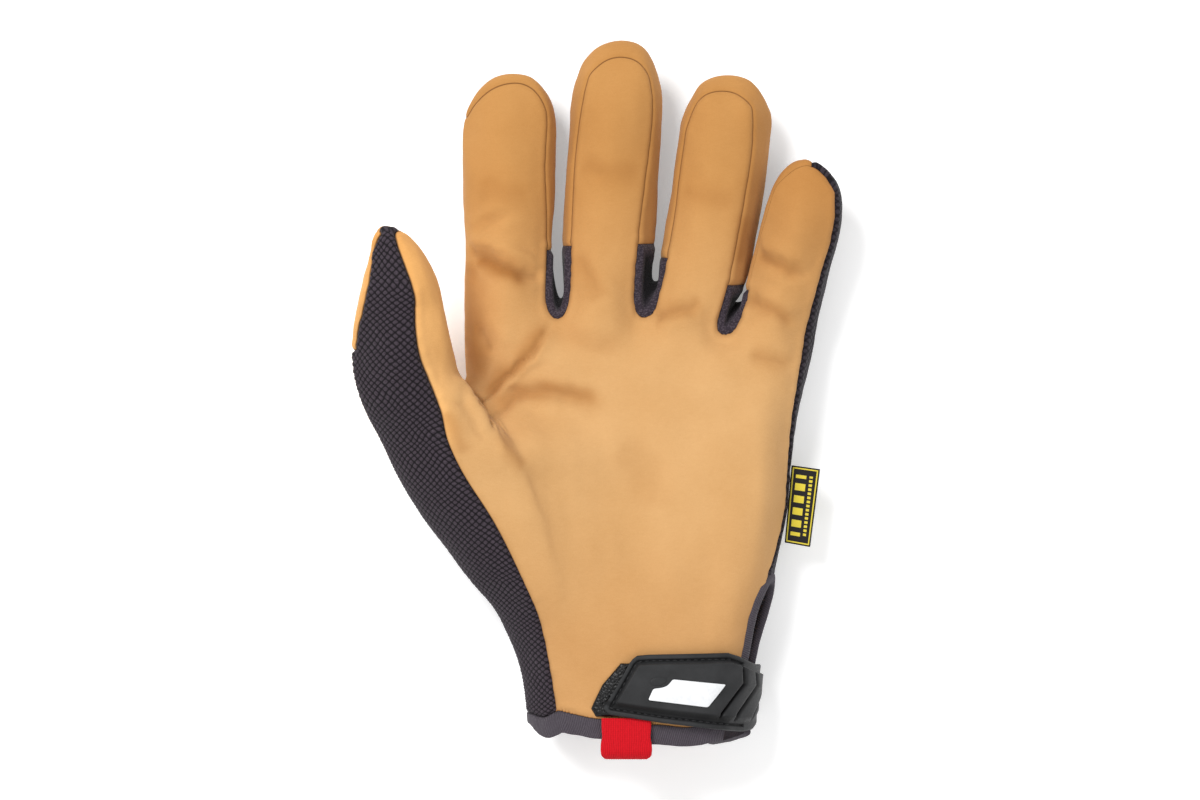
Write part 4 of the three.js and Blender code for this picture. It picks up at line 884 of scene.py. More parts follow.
def walled(name, label, top=4, thick=wall, proud=0.0, tucked=0.0, bumps=None, warp=None, sharp=55):
    """One panel: its outer face, its plainer inner face and the cut edge between them."""
    k = piece_names.index(label)
    pick = fine_labels == k
    outer, uv, names = fine_faces[pick], fine_uv[pick], fine_labels[pick]
    open_edge = np.zeros(len(worn_at), bool)
    open_edge[open_points] = True
    step = np.where(open_edge, 0.0, np.where(quiet_seam, 0.06, np.where(snug_seam, 0.02, half_gap)))
    at = drawn_in(outer, worn_at, step)
    normal = fine_normals
    low_faces = levels[3][0][levels[3][2] == k]
    low_uv = levels[3][3][levels[3][2] == k]
    a, b, _ = rim_of(low_faces)
    chain = [a, middles(3, a, b), b]
    # The fold and painted_shade fields carry painted shade into the suede's colour; seam and join give the
    # sewn lines.
    fields = {"seam": seam_gap, "join": join_gap, "fold": crease_shade, "painted_shade": painted_shade}
    if top == 5:
        ends, where, _ = edge_table(outer, len(at))
        first = len(at) + len(outer)
        keys = ends[:, 0] * len(at) + ends[:, 1]

        def between(p, q):
            wanted = np.minimum(p, q).astype(np.int64) * len(at) + np.maximum(p, q)
            return first + np.searchsorted(keys, wanted)

        chain = [a, between(a, chain[1]), chain[1], between(chain[1], b), b]
        fields = {key: np.concatenate([v, v[outer].mean(axis=1), v[ends].mean(axis=1)])
                  for key, v in fields.items()}
        normal = np.concatenate([normal, normal[outer].mean(axis=1), normal[ends].mean(axis=1)])
        normal /= np.maximum(np.linalg.norm(normal, axis=1), 1e-9)[:, None]
        outer, at, names, uv, _ = refined(outer, at, names, uv)
    inner = at - normal * thick
    if warp is not None:
        uv = warp(at[outer], uv)
    if bumps is not None:
        at = at + normal * bumps(at, outer, uv, fields["seam"])[:, None]
    if tucked:
        at = at - normal * (tucked * np.exp(-(fields["seam"] / 0.9) ** 2))[:, None]
    if proud:
        at = at + normal * proud
    shift = len(at)
    points = np.concatenate([at, inner])
    half = len(chain) // 2
    sides = [np.stack([chain[half], a + shift, b + shift], axis=1)]
    for j in range(len(chain) - 1):
        foot = a if j < half else b
        sides.append(np.stack([chain[j + 1], chain[j], foot + shift], axis=1))
    sides = np.concatenate(sides)
    inside = low_faces[:, ::-1] + shift
    values = {key: np.concatenate([v, v]) for key, v in fields.items()}
    return mesh_piece(name, points, [outer, inside, sides],
                      [uv, low_uv[:, ::-1], np.zeros((len(sides), 3, 2))], sharp, values)


def finish(name, roughness, sheen=0.0, specular=0.3):
    """A new material with its shader's fixed values set."""
    material = bpy.data.materials.new(name)
    material.use_nodes = True
    tree = material.node_tree
    shader = tree.nodes["Principled BSDF"]
    shader.inputs["Roughness"].default_value = roughness
    shader.inputs["Specular IOR Level"].default_value = specular
    shader.inputs["Sheen Weight"].default_value = sheen
    shader.inputs["Sheen Roughness"].default_value = 0.5
    return material, tree, shader


def node(tree, kind, settings=None, **inputs):
    """Adds a node; an input is a value, or an output of another node to link."""
    made = tree.nodes.new(kind)
    for key, value in (settings or {}).items():
        setattr(made, key, value)
    for key, value in inputs.items():
        socket = made.inputs[key.replace("_", " ")]
        if isinstance(value, bpy.types.NodeSocket):
            tree.links.new(value, socket)
        else:
            socket.default_value = value
    return made


def maths(tree, operation, *values, clamp=False):
    made = tree.nodes.new("ShaderNodeMath")
    made.operation = operation
    made.use_clamp = clamp
    for i, value in enumerate(values):
        if isinstance(value, bpy.types.NodeSocket):
            tree.links.new(value, made.inputs[i])
        else:
            made.inputs[i].default_value = value
    return made.outputs[0]


def blend(tree, factor, a, b, mode="MIX"):
    made = tree.nodes.new("ShaderNodeMix")
    made.data_type = "RGBA"
    made.blend_type = mode
    for socket, value in zip((made.inputs[0], made.inputs[6], made.inputs[7]), (factor, a, b)):
        if isinstance(value, bpy.types.NodeSocket):
            tree.links.new(value, socket)
        else:
            socket.default_value = value
    return made.outputs[2]


def fitted_range(tree, value, low, high, to_low=0.0, to_high=1.0):
    made = node(tree, "ShaderNodeMapRange", None, Value=value)
    for key, number in (("From Min", low), ("From Max", high), ("To Min", to_low), ("To Max", to_high)):
        made.inputs[key].default_value = number
    return made.outputs[0]


def noise(tree, place, scale, detail, roughness=0.5):
    """Cloudy noise at a place, as a value."""
    return node(tree, "ShaderNodeTexNoise", None, Vector=place, Scale=scale, Detail=detail,
                Roughness=roughness).outputs[0]


def emboss(tree, shader, height, strength, distance):
    """Gives the surface a fine relief from a height."""
    relief = node(tree, "ShaderNodeBump", None, Height=height, Strength=strength, Distance=distance)
    tree.links.new(relief.outputs[0], shader.inputs["Normal"])


def effect(name, inputs, outputs):
    """An empty node group with the named inputs and outputs."""
    group = bpy.data.node_groups.new(name, "ShaderNodeTree")
    for label, kind, start in inputs:
        socket = group.interface.new_socket(label, in_out="INPUT", socket_type=kind)
        socket.default_value = start
    for label, kind in outputs:
        group.interface.new_socket(label, in_out="OUTPUT", socket_type=kind)
    return group, group.nodes.new("NodeGroupInput"), group.nodes.new("NodeGroupOutput")


# Suede nap: short fibres brushed across the hand, clouded where they lie the other way, and darker along the
# seams; painted shade darkens it in the folds, and painted light and shade are laid over it, as noted below.
nap, nap_in, nap_out = effect(
    "suede_nap",
    [("Light", "NodeSocketColor", (0.7, 0.4, 0.15, 1)), ("Dark", "NodeSocketColor", (0.5, 0.2, 0.06, 1)),
     ("Deep", "NodeSocketColor", (0.12, 0.05, 0.02, 1)), ("Clouds", "NodeSocketFloat", 0.5)],
    [("Color", "NodeSocketColor"), ("Height", "NodeSocketFloat")])
place = node(nap, "ShaderNodeTexCoord").outputs["Object"]
brushed = node(nap, "ShaderNodeMapping", None, Vector=place, Scale=(500.0, 1400.0, 800.0)).outputs[0]
fibres = noise(nap, brushed, 1.0, 4.0, 0.6)
specks = noise(nap, place, 2600.0, 2.0)
clouds = noise(nap, place, 38.0, 4.0, 0.55)
seam_field = node(nap, "ShaderNodeAttribute", {"attribute_name": "seam"}).outputs["Fac"]
crease_shade_field = node(nap, "ShaderNodeAttribute", {"attribute_name": "fold"}).outputs["Fac"]
join_field = node(nap, "ShaderNodeAttribute", {"attribute_name": "join"}).outputs["Fac"]
painted_shade_field = node(nap, "ShaderNodeAttribute", {"attribute_name": "painted_shade"}).outputs["Fac"]
tone = maths(nap, "MULTIPLY", fitted_range(nap, fibres, 0.3, 0.7), 0.15)
tone = maths(nap, "ADD", tone, maths(nap, "MULTIPLY", fitted_range(nap, specks, 0.3, 0.7), 0.20))
cloudy = maths(nap, "MULTIPLY", fitted_range(nap, clouds, 0.32, 0.68), nap_in.outputs["Clouds"])
tone = maths(nap, "ADD", tone, cloudy)
near_seam = maths(nap, "ADD", fitted_range(nap, seam_field, 2.6, 0.4, 0.0, 0.20),
                  fitted_range(nap, join_field, 2.2, 0.3, 0.0, 0.16))
tone = maths(nap, "ADD", tone, near_seam, clamp=True)
colour = blend(nap, tone, nap_in.outputs["Light"], nap_in.outputs["Dark"])
spot_axes = node(nap, "ShaderNodeSeparateXYZ", None, Vector=place)
# Painted shade: the suede is painted darker up the hand towards the fingers.
painted_shade_up_hand = fitted_range(nap, spot_axes.outputs[1], 0.005, 0.075)
colour = blend(nap, painted_shade_up_hand, colour, blend(nap, 1.0, colour, (0.84, 0.72, 0.53, 1), "MULTIPLY"))
# A little darker towards the wrist.
to_wrist = fitted_range(nap, spot_axes.outputs[1], -0.040, -0.085)
colour = blend(nap, to_wrist, colour, blend(nap, 1.0, colour, (0.92, 0.86, 0.80, 1), "MULTIPLY"))
# Painted light: the thumb's side, which tilts away from the lights, is painted lighter.
painted_light_on_thumb = fitted_range(nap, spot_axes.outputs[0], -0.049, -0.056)
colour = blend(nap, painted_light_on_thumb, colour, blend(nap, 1.0, colour, (1.36, 1.33, 1.22, 1), "MULTIPLY"))
# Painted shade: darker still towards the little finger, up the hand.
painted_shade_to_little = maths(nap, "MULTIPLY", painted_shade_up_hand, fitted_range(nap, spot_axes.outputs[0], 0.045, 0.075))
colour = blend(nap, painted_shade_to_little, colour, blend(nap, 1.0, colour, (0.90, 0.84, 0.76, 1), "MULTIPLY"))
# Painted shade: the soft patches of painted_shade are painted browner.
painted_shade_colour = blend(nap, 1.0, colour, (0.62, 0.47, 0.30, 1), "MULTIPLY")
colour = blend(nap, painted_shade_field, colour, painted_shade_colour)
# Painted shade in the folds, by crease depth, and a thin darker line along each seam.
painted_crease_shade = fitted_range(nap, crease_shade_field, 0.35, 1.8, 0.0, 0.40)
in_seam = maths(nap, "MAXIMUM", fitted_range(nap, seam_field, 0.5, 0.08, 0.0, 0.6),
                fitted_range(nap, join_field, 0.34, 0.05, 0.0, 0.62))
colour = blend(nap, maths(nap, "MAXIMUM", painted_crease_shade, in_seam), colour, nap_in.outputs["Deep"])
nap.links.new(colour, nap_out.inputs["Color"])
nap.links.new(maths(nap, "ADD", maths(nap, "MULTIPLY", fibres, 0.7), maths(nap, "MULTIPLY", specks, 0.5)),
              nap_out.inputs["Height"])


def suede(name, light, dark, deep, cloudy):
    material, tree, shader = finish(name, 0.85, sheen=0.06, specular=0.15)
    grain = node(tree, "ShaderNodeGroup", {"node_tree": nap}, Light=light, Dark=dark, Deep=deep,
                 Clouds=cloudy)
    tree.links.new(grain.outputs["Color"], shader.inputs["Base Color"])
    emboss(tree, shader, grain.outputs["Height"], 0.35, 0.00022)
    return material


palm_suede = suede("palm_suede", (0.605, 0.352, 0.150, 1), (0.485, 0.255, 0.090, 1),
                   (0.16, 0.060, 0.018, 1), 0.36)
palm = walled("palm", "palm_panel")
palm.data.materials.append(palm_suede)
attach(palm, "root")
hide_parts("palm_panel")

# Finger side strips
# Narrow strips of the same suede, a shade browner, join the fronts of the fingers to the knitted back.
# Each runs up one side of its finger, over the tip and down the other.

strip_suede = suede("strip_suede", (0.600, 0.345, 0.143, 1), (0.465, 0.240, 0.082, 1),
                    (0.15, 0.055, 0.016, 1), 0.36)
for finger, wide, long, cut in (
    ("index", 0.030, 0.12, 0.00130),
    ("middle", 0.030, 0.22, 0.00247),
    ("ring", 0.030, 0.21, 0.00245),
    ("little", 0.020, 0.08, 0.00058),
):
    strip = walled(f"{finger}_strip", f"{finger}_side_strip")
    strip.data.materials.append(strip_suede)
    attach(strip, "root")
    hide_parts(f"{finger}_side_strip")

# Thumb side and back of the hand
# The back is a thick, springy knit of round stitches set in slanting rows, charcoal with a plum cast.
# The stitches of the thumb's side are modelled one by one, because they face the viewer.

stitch_wide, stitch_long = 2.8, 2.4


def stitches(u, v):
    a = u / stitch_wide + v / stitch_long
    b = u / stitch_wide - v / stitch_long
    return np.sqrt((0.5 + 0.5 * np.cos(2 * np.pi * a)) * (0.5 + 0.5 * np.cos(2 * np.pi * b)))


knit_group, knit_in, knit_out = effect(
    "knit_stitches",
    [("Wide", "NodeSocketFloat", stitch_wide), ("Long", "NodeSocketFloat", stitch_long)],
    [("Height", "NodeSocketFloat"), ("Yarn", "NodeSocketFloat")])
cloth_map = node(knit_group, "ShaderNodeUVMap", {"uv_map": "cloth"}).outputs[0]
axes = node(knit_group, "ShaderNodeSeparateXYZ", None, Vector=cloth_map)
across = maths(knit_group, "DIVIDE", axes.outputs[0], knit_in.outputs["Wide"])
along = maths(knit_group, "DIVIDE", axes.outputs[1], knit_in.outputs["Long"])
waves = []
for sign in ("ADD", "SUBTRACT"):
    turn = maths(knit_group, "MULTIPLY", maths(knit_group, sign, across, along), 2 * math.pi)
    waves.append(maths(knit_group, "MULTIPLY_ADD", maths(knit_group, "COSINE", turn), 0.5, 0.5))
height = maths(knit_group, "SQRT", maths(knit_group, "MULTIPLY", *waves))
yarn_place = node(knit_group, "ShaderNodeTexCoord").outputs["Object"]
yarn = noise(knit_group, yarn_place, 1900.0, 3.0)
knit_group.links.new(height, knit_out.inputs["Height"])
knit_group.links.new(yarn, knit_out.inputs["Yarn"])


def knit(name, raised, gap_shade_colour, relief_mm):
    material, tree, shader = finish(name, 0.8, sheen=0.05, specular=0.2)
    weave = node(tree, "ShaderNodeGroup", {"node_tree": knit_group}, Wide=stitch_wide, Long=stitch_long)
    mask = fitted_range(tree, weave.outputs["Height"], 0.10, 0.62)
    tint = fitted_range(tree, weave.outputs["Yarn"], 0.3, 0.7, 0.62, 1.25)
    grey = node(tree, "ShaderNodeCombineColor", None, Red=tint, Green=tint, Blue=tint).outputs[0]
    top = blend(tree, 1.0, raised, grey, "MULTIPLY")
    # Painted shade: the gaps between the stitches are painted near black.
    tree.links.new(blend(tree, mask, gap_shade_colour, top), shader.inputs["Base Color"])
    lift = maths(tree, "ADD", maths(tree, "MULTIPLY", weave.outputs["Height"], relief_mm),
                 maths(tree, "MULTIPLY", weave.outputs["Yarn"], 0.10))
    emboss(tree, shader, lift, 0.8, 0.001)
    return material


def knit_bumps(at, faces, uv, gap):
    total = np.zeros((len(at), 2))
    for k in range(2):
        total[:, k] = np.bincount(faces.ravel(), uv[:, :, k].ravel(), minlength=len(at))
    share = np.maximum(np.bincount(faces.ravel(), minlength=len(at)), 1)
    u, v = (total / share[:, None]).T
    flattened = 1 - 0.75 * smoothed((at[:, 1] - 54.0) / 3.0)
    return 0.46 * flattened * np.minimum(stitches(u, v) * 1.35, 1.0) * smoothed((gap - 0.2) / 0.8)


def hand_knitted(at, uv):
    """The rows close up towards the wrist and wander a little, as knitted cloth does."""
    heights = np.linspace(-130, 130, 261)
    travelled = np.cumsum(lerp(1.25, 1.0, smoothed((heights + 62) / 50)))
    out = uv.copy()
    out[..., 1] = np.interp(uv[..., 1], heights, travelled)
    flat = at.reshape(-1, 3)
    out[..., 0] += 0.32 * ripple(flat, 8.0, 21).reshape(uv.shape[:2])
    out[..., 1] += 0.25 * ripple(flat, 8.0, 23).reshape(uv.shape[:2])
    return out


# Raised yarn colour, and the near-black painted shade for the gaps between stitches.
raised_yarn = (0.049, 0.037, 0.048, 1)
painted_gap_shade = (0.005, 0.003, 0.005, 1)
side_knit = knit("side_knit", raised_yarn, painted_gap_shade, 0.0)
back_knit = knit("back_knit", (0.036, 0.028, 0.036, 1), painted_gap_shade, 0.28)
thumb_side = walled("thumb_side", "thumb_back_panel", top=5, tucked=0.4, bumps=knit_bumps,
                    warp=hand_knitted, sharp=75)
thumb_side.data.materials.append(side_knit)
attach(thumb_side, "root")
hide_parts("thumb_back_panel")
hand_back = walled("hand_back", "hand_back_panel", tucked=0.4, warp=hand_knitted)
hand_back.data.materials.append(back_knit)
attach(hand_back, "root")
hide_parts("hand_back_panel")

# Finger gussets
# A small fourchette of ribbed stretch cloth sits between each two fingers. Its rim is rolled over the
# seam, and the cloth dives into a pocket behind it, painted near black there as painted shade.

stretch, tree, shader = finish("stretch_cloth", 0.8, sheen=0.1, specular=0.15)
place = node(tree, "ShaderNodeTexCoord").outputs["Object"]
ribs = node(tree, "ShaderNodeMapping", None, Vector=place, Scale=(1300.0, 2000.0, 1300.0)).outputs[0]
threads = node(tree, "ShaderNodeTexVoronoi", None, Vector=ribs, Scale=1.0).outputs["Distance"]
seam_field = node(tree, "ShaderNodeAttribute", {"attribute_name": "seam"}).outputs["Fac"]
tone = fitted_range(tree, threads, 0.1, 0.6)
colour = blend(tree, tone, (0.078, 0.062, 0.078, 1), (0.026, 0.019, 0.027, 1))
# Painted shade: further from the seam the cloth is painted near black, for the shade in the pocket.
deep = fitted_range(tree, seam_field, 2.8, 5.0)
tree.links.new(blend(tree, deep, colour, (0.004, 0.003, 0.004, 1)), shader.inputs["Base Color"])
relief = node(tree, "ShaderNodeBump", {"invert": True}, Height=threads, Strength=0.6, Distance=0.0004)
tree.links.new(relief.outputs[0], shader.inputs["Normal"])
for web, wide, long, cut in (
    ("index_middle", 0.025, 0.050, 0.00086),
    ("middle_ring", 0.025, 0.045, 0.00078),
    ("ring_little", 0.020, 0.040, 0.00051),
):
    gusset = walled(f"{web}_web", f"{web}_gusset", top=5)
    gusset.data.materials.append(stretch)
    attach(gusset, "root")
    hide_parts(f"{web}_gusset")

# Cuff binding
# A grosgrain tape folded over the raw edge of the cuff and sewn through both sides.

tape, tree, shader = finish("binding_tape", 0.8, sheen=0.05, specular=0.2)
cloth_map = node(tree, "ShaderNodeUVMap", {"uv_map": "cloth"}).outputs[0]
slanted = node(tree, "ShaderNodeMapping", None, Vector=cloth_map, Rotation=(0, 0, 0.3)).outputs[0]
wale = node(tree, "ShaderNodeTexWave", {"wave_type": "BANDS", "bands_direction": "X"}, Vector=slanted,
            Scale=0.43, Distortion=1.0, Detail=2.0).outputs["Fac"]
place = node(tree, "ShaderNodeTexCoord").outputs["Object"]
fuzz = noise(tree, place, 1300.0, 3.0)
fuzzy = maths(tree, "MULTIPLY", fuzz, 0.55)
tone = maths(tree, "ADD", maths(tree, "MULTIPLY", wale, 0.55), fuzzy, clamp=True)
colour = blend(tree, tone, (0.038, 0.031, 0.040, 1), (0.088, 0.075, 0.090, 1))
tree.links.new(colour, shader.inputs["Base Color"])
emboss(tree, shader, tone, 0.8, 0.0004)
cuff_tape = walled("cuff_tape", "cuff_binding", thick=wall + binding_proud + 0.3, proud=binding_proud)
cuff_tape.data.materials.append(tape)
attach(cuff_tape, "root")
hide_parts("cuff_binding")

# Vent binding
# The slit on the little finger's side is edged with the same tape, folded over and rolled to a cord.

ends, where, uses = edge_table(fine_faces, len(fine_at))
rim_edges = [tuple(e) for e in ends[uses == 1] if not (cuff[e[0]] and cuff[e[1]])]
beside_of = {}
for a, b in rim_edges:
    beside_of.setdefault(a, []).append(b)
    beside_of.setdefault(b, []).append(a)
here, last = tube_rings[1]["F"][19], tube_rings[1]["R"]
walk, before = [here], None
while here != last:
    here, before = [v for v in beside_of[here] if v != before and v not in walk[-3:]][0], here
    walk.append(here)
walk = np.array(walk)
line = fine_at[walk] - fine_normals[walk] * 0.7
lean = fine_normals[walk].copy()
for _ in range(30):
    line[1:-1] = 0.25 * line[:-2] + 0.5 * line[1:-1] + 0.25 * line[2:]
    lean[1:-1] = 0.25 * lean[:-2] + 0.5 * lean[1:-1] + 0.25 * lean[2:]
line[:, 1] += 0.6 * np.exp(-np.minimum(np.arange(len(line)), np.arange(len(line))[::-1]) / 6.0)
lean /= np.linalg.norm(lean, axis=1)[:, None]
run = np.gradient(line, axis=0)
run /= np.linalg.norm(run, axis=1)[:, None]
side = np.cross(run, lean)
side /= np.linalg.norm(side, axis=1)[:, None]
lean = np.cross(side, run)
travel = np.concatenate([[0], np.cumsum(np.linalg.norm(np.diff(line, axis=0), axis=1))])
turns = np.linspace(0, 2 * math.pi, 24, endpoint=False)
roll = 1 + 0.05 * ripple(line, 7.0, 31)
ring_points = []
for i, turn in enumerate(turns):
    wide = 2.25 * abs(math.cos(turn)) ** 0.8 * math.copysign(1, math.cos(turn))
    deep = 1.55 * abs(math.sin(turn)) ** 0.8 * math.copysign(1, math.sin(turn))
    ring_points.append(line + side * (wide * roll)[:, None] + lean * (deep * roll)[:, None])
ring_points = np.stack(ring_points, axis=1)
n, m = ring_points.shape[:2]
at = np.concatenate([ring_points.reshape(-1, 3), line[[0, -1]]])
i, j = np.meshgrid(np.arange(n - 1), np.arange(m), indexing="ij")
jn = (j + 1) % m
around = np.stack([i * m + j, i * m + jn, (i + 1) * m + jn, (i + 1) * m + j], axis=-1).reshape(-1, 4)
u = np.stack([j, j + 1, j + 1, j], axis=-1).reshape(-1, 4) * 0.4
v = np.stack([travel[i], travel[i], travel[i + 1], travel[i + 1]], axis=-1).reshape(-1, 4)
k = np.arange(m)
caps = np.concatenate([
    np.stack([np.full(m, n * m), (k + 1) % m, k], axis=1),
    np.stack([np.full(m, n * m + 1), (n - 1) * m + k, (n - 1) * m + (k + 1) % m], axis=1)])
vent_map = [np.stack([v, u], axis=-1), np.zeros((2 * m, 3, 2))]
vent_tape = mesh_piece("vent_tape", at, [around, caps], vent_map)
vent_tape.data.materials.append(tape)
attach(vent_tape, "root")
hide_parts("vent_binding")

# Closure strap
# A moulded rubber tab, sewn round its flange in a sunk channel, closes the cuff. Its field is raised and
# bevelled, and towards the little finger's side it steps down in shingles that let it bend. It is laid
# out flat as it is seen from the palm, and then wrapped on the wrist.

middle_x, middle_z = 14.0, 21.0
whole = (quads, fitted(quads, spots), labels, marks)
wrist_only = spots[quads][:, :, 1].max(axis=1) < -12
whole = (whole[0][wrist_only], whole[1], whole[2][wrist_only], whole[3][wrist_only])
for _ in range(3):
    whole = refined(*whole)[:4]
whole_at = limit_of(whole[0], whole[1])
wrist_tree = BVHTree.FromPolygons(whole_at.tolist(), whole[0].tolist())
wrap_y = np.arange(-113.5, -84.0, 0.75)
wrap_turn = np.radians(np.arange(-80.0, 126.0, 1.0))
wrist = np.array([[tuple(wrist_tree.ray_cast(Vector((middle_x, y, middle_z)),
                                             Vector((math.sin(t), 0, math.cos(t))))[0]) for t in wrap_turn]
                  for y in wrap_y])[:, :, [0, 2]]
for _ in range(6):
    wrist[:, 1:-1] = 0.25 * wrist[:, :-2] + 0.5 * wrist[:, 1:-1] + 0.25 * wrist[:, 2:]
way = np.gradient(wrist, axis=1)
way /= np.linalg.norm(way, axis=2)[:, :, None]
wrist_out = np.stack([-way[:, :, 1], way[:, :, 0]], axis=2)
seen = wrist[:, :, 0] + 4.4 * wrist_out[:, :, 0]
steps = np.linalg.norm(np.diff(wrist, axis=1), axis=2)
reach = np.zeros_like(seen)
front = int(np.argmin(np.abs(wrap_turn)))
reach[:, front] = seen[:, front]
for i in range(front + 1, len(wrap_turn)):
    reach[:, i] = reach[:, i - 1] + np.maximum(seen[:, i] - seen[:, i - 1], 0.35 * steps[:, i - 1])
for i in range(front - 1, -1, -1):
    reach[:, i] = reach[:, i + 1] - np.maximum(seen[:, i + 1] - seen[:, i], 0.35 * steps[:, i])


def wrapped(x, y, height):
    """Takes points laid out as seen from the palm to the wrist, at a height over its skin."""
    row = np.clip((y - wrap_y[0]) / 0.75, 0, len(wrap_y) - 1.001)
    low = np.floor(row).astype(int)
    out = np.zeros((len(x), 3))
    for lift in (0, 1):
        share = (row - low) if lift else 1 - (row - low)
        for r in np.unique(low + lift):
            pick = low + lift == r
            for k, axis in ((0, 0), (1, 2)):
                base = np.interp(x[pick], reach[r], wrist[r, :, k])
                lean = np.interp(x[pick], reach[r], wrist_out[r, :, k])
                out[pick, axis] += share[pick] * (base + lean * height[pick])
    out[:, 1] = y
    return out


def strap_lift(x):
    return 2.5 - 0.7 * smoothed((x - 38.0) / 10.0)


strap_left = [(0.0, 12.3), (0.035, 10.9), (0.09, 9.75), (0.5, 5.1), (0.76, 2.0), (0.84, 1.0), (0.9, 0.6),
              (0.95, 0.95), (1.0, 2.7)]
strap_upper = [(0, -90.6), (9.0, -89.8), (13.0, -89.0), (17.0, -88.7), (45.0, -88.2), (49.0, -89.4),
               (55.5, -92.4), (62, -92.6)]
strap_lower = [(0.0, -108.2), (3.0, -109.8), (22.2, -112.7), (39.7, -114.8), (50.5, -115.8), (54.0, -115.2),
               (57.0, -112.2), (62, -111.5)]
strap_end = 59.8
flange, field = 1.5, 3.15


def knots(table, x):
    return np.interp(x, [k[0] for k in table], [k[1] for k in table])


def strap_flat(s, v):
    """The place on the flat strap for a share of its length and of its width."""
    left = knots(strap_left, v)
    x = left + (strap_end - left) * s
    upper, lower = knots(strap_upper, x), knots(strap_lower, x)
    return x, upper + (lower - upper) * v


def strap_relief(x, y):
    """The strap's thickness at a flat place (flange, channel, bevelled field and shingles) and its painted
    shade.
    """
    corner_line = [(12.3, -88.7), (9.75, -91.0), (5.1, -99.2), (2.0, -104.4), (0.7, -107.2),
                   (1.0, -108.7), (2.7, -109.8)]
    from_left = np.abs(along_line(np.stack([x, y], axis=1), corner_line)[0])
    from_top = knots(strap_upper, x) - y
    from_foot = y - knots(strap_lower, x)
    inside = np.minimum(np.minimum(from_left, from_top), from_foot)
    up = smoothed((np.minimum(from_left, from_top) - 2.75) / 0.9) * smoothed((from_foot - 2.75) / 2.5)
    first_line = [(49.4, -84.0), (49.6, -92.4), (49.9, -99.0), (41.9, -109.2), (39.5, -116.0)]
    first, _ = along_line(np.stack([x, y], axis=1), first_line)
    second_line = [(53.6, -84.0), (54.0, -94.5), (54.5, -99.8), (47.6, -109.6), (45.8, -116.0)]
    second, _ = along_line(np.stack([x, y], axis=1), second_line)
    third_line = [(57.4, -84.0), (57.6, -95.0), (57.8, -101.5), (53.5, -109.8), (52.0, -116.0)]
    third, _ = along_line(np.stack([x, y], axis=1), third_line)
    top = np.where(first < 0, field, np.where(second < 0, field - 0.15 + 0.10 * first, np.where(
        third < 0, field - 0.55 + 0.10 * second, field - 1.0)))
    top = np.minimum(top, field)
    thick = flange + (top - flange) * up
    cut = np.maximum(1.3 * np.exp(-(first / 0.5) ** 2), 1.15 * np.exp(-(second / 0.5) ** 2))
    cut = np.maximum(cut, 0.9 * np.exp(-(third / 0.45) ** 2)) * up
    channel = 0.75 * np.exp(-((inside - 2.15) / 0.45) ** 2)
    thick -= cut + channel * (x < 50.5)
    soft = np.clip(1 - inside / 0.7, 0, 1)
    bevel = 0.75 * smoothed((from_foot - 2.2) / 1.2) * smoothed((5.4 - from_foot) / 1.2) * (first < 4)
    # Painted shade for the channel, the shingle cuts and the downward bevel of the field.
    shade = np.clip(np.maximum(np.maximum(1.1 * channel * (x < 50.5), cut), bevel), 0, 1)
    return thick - 0.5 * soft ** 2, shade


bpy.ops.object.select_all(action="DESELECT")
bpy.ops.mesh.primitive_grid_add(x_subdivisions=250, y_subdivisions=104, size=1.0, location=(0, 0, 0))
strap = bpy.context.object
strap.name = "strap"
flat = np.zeros(len(strap.data.vertices) * 3)
strap.data.vertices.foreach_get("co", flat)
flat = flat.reshape(-1, 3)
x, y = strap_flat(flat[:, 0] + 0.5, 0.5 - flat[:, 1])
thick, strap_shade = strap_relief(x, y)
bottom = wrapped(x, y, strap_lift(x))
top = wrapped(x, y, strap_lift(x) + thick)
strap.data.vertices.foreach_set("co", (bottom / 1000).ravel())
bpy.ops.object.mode_set(mode="EDIT")
bpy.ops.mesh.select_all(action="SELECT")
bpy.ops.mesh.extrude_region_move(TRANSFORM_OT_translate={"value": (0, 0, 0.0)})
bpy.ops.object.mode_set(mode="OBJECT")
raised = np.array([v.select for v in strap.data.vertices])
both = np.zeros(len(raised) * 3)
strap.data.vertices.foreach_get("co", both)
both = both.reshape(-1, 3)
tree = tree_of(bottom / 1000)
match = np.array([tree.find(p)[1] for p in both[raised].tolist()])
both[raised] = top[match] / 1000
strap.data.vertices.foreach_set("co", both.ravel())
painted_groove_shade = np.zeros(len(raised))
painted_groove_shade[raised] = strap_shade[match]
strap.data.attributes.new("painted_groove_shade", "FLOAT", "POINT").data.foreach_set("value", painted_groove_shade)
bpy.ops.object.mode_set(mode="EDIT")
bpy.ops.mesh.select_all(action="SELECT")
bpy.ops.mesh.normals_make_consistent(inside=False)
bpy.ops.object.mode_set(mode="OBJECT")
strap.data.shade_smooth()
strap.data.set_sharp_from_angle(angle=math.radians(60))

rubber, tree, shader = finish("moulded_rubber", 0.5, specular=0.18)
place = node(tree, "ShaderNodeTexCoord").outputs["Object"]
grain = noise(tree, place, 1700.0, 4.0, 0.65)
smear = noise(tree, place, 120.0, 3.0)
deep = node(tree, "ShaderNodeAttribute", {"attribute_name": "painted_groove_shade"}).outputs["Fac"]
face = blend(tree, fitted_range(tree, smear, 0.3, 0.7), (0.019, 0.0195, 0.0205, 1), (0.031, 0.0315, 0.033, 1))
# Painted shade: channel, cuts and lower bevel are painted near black in the rubber's colour.
tree.links.new(blend(tree, deep, face, (0.002, 0.002, 0.0022, 1)), shader.inputs["Base Color"])
tree.links.new(fitted_range(tree, grain, 0.3, 0.7, 0.42, 0.62), shader.inputs["Roughness"])
emboss(tree, shader, grain, 0.4, 0.00012)
strap.data.materials.append(rubber)
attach(strap, "root")
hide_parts("closure_strap")

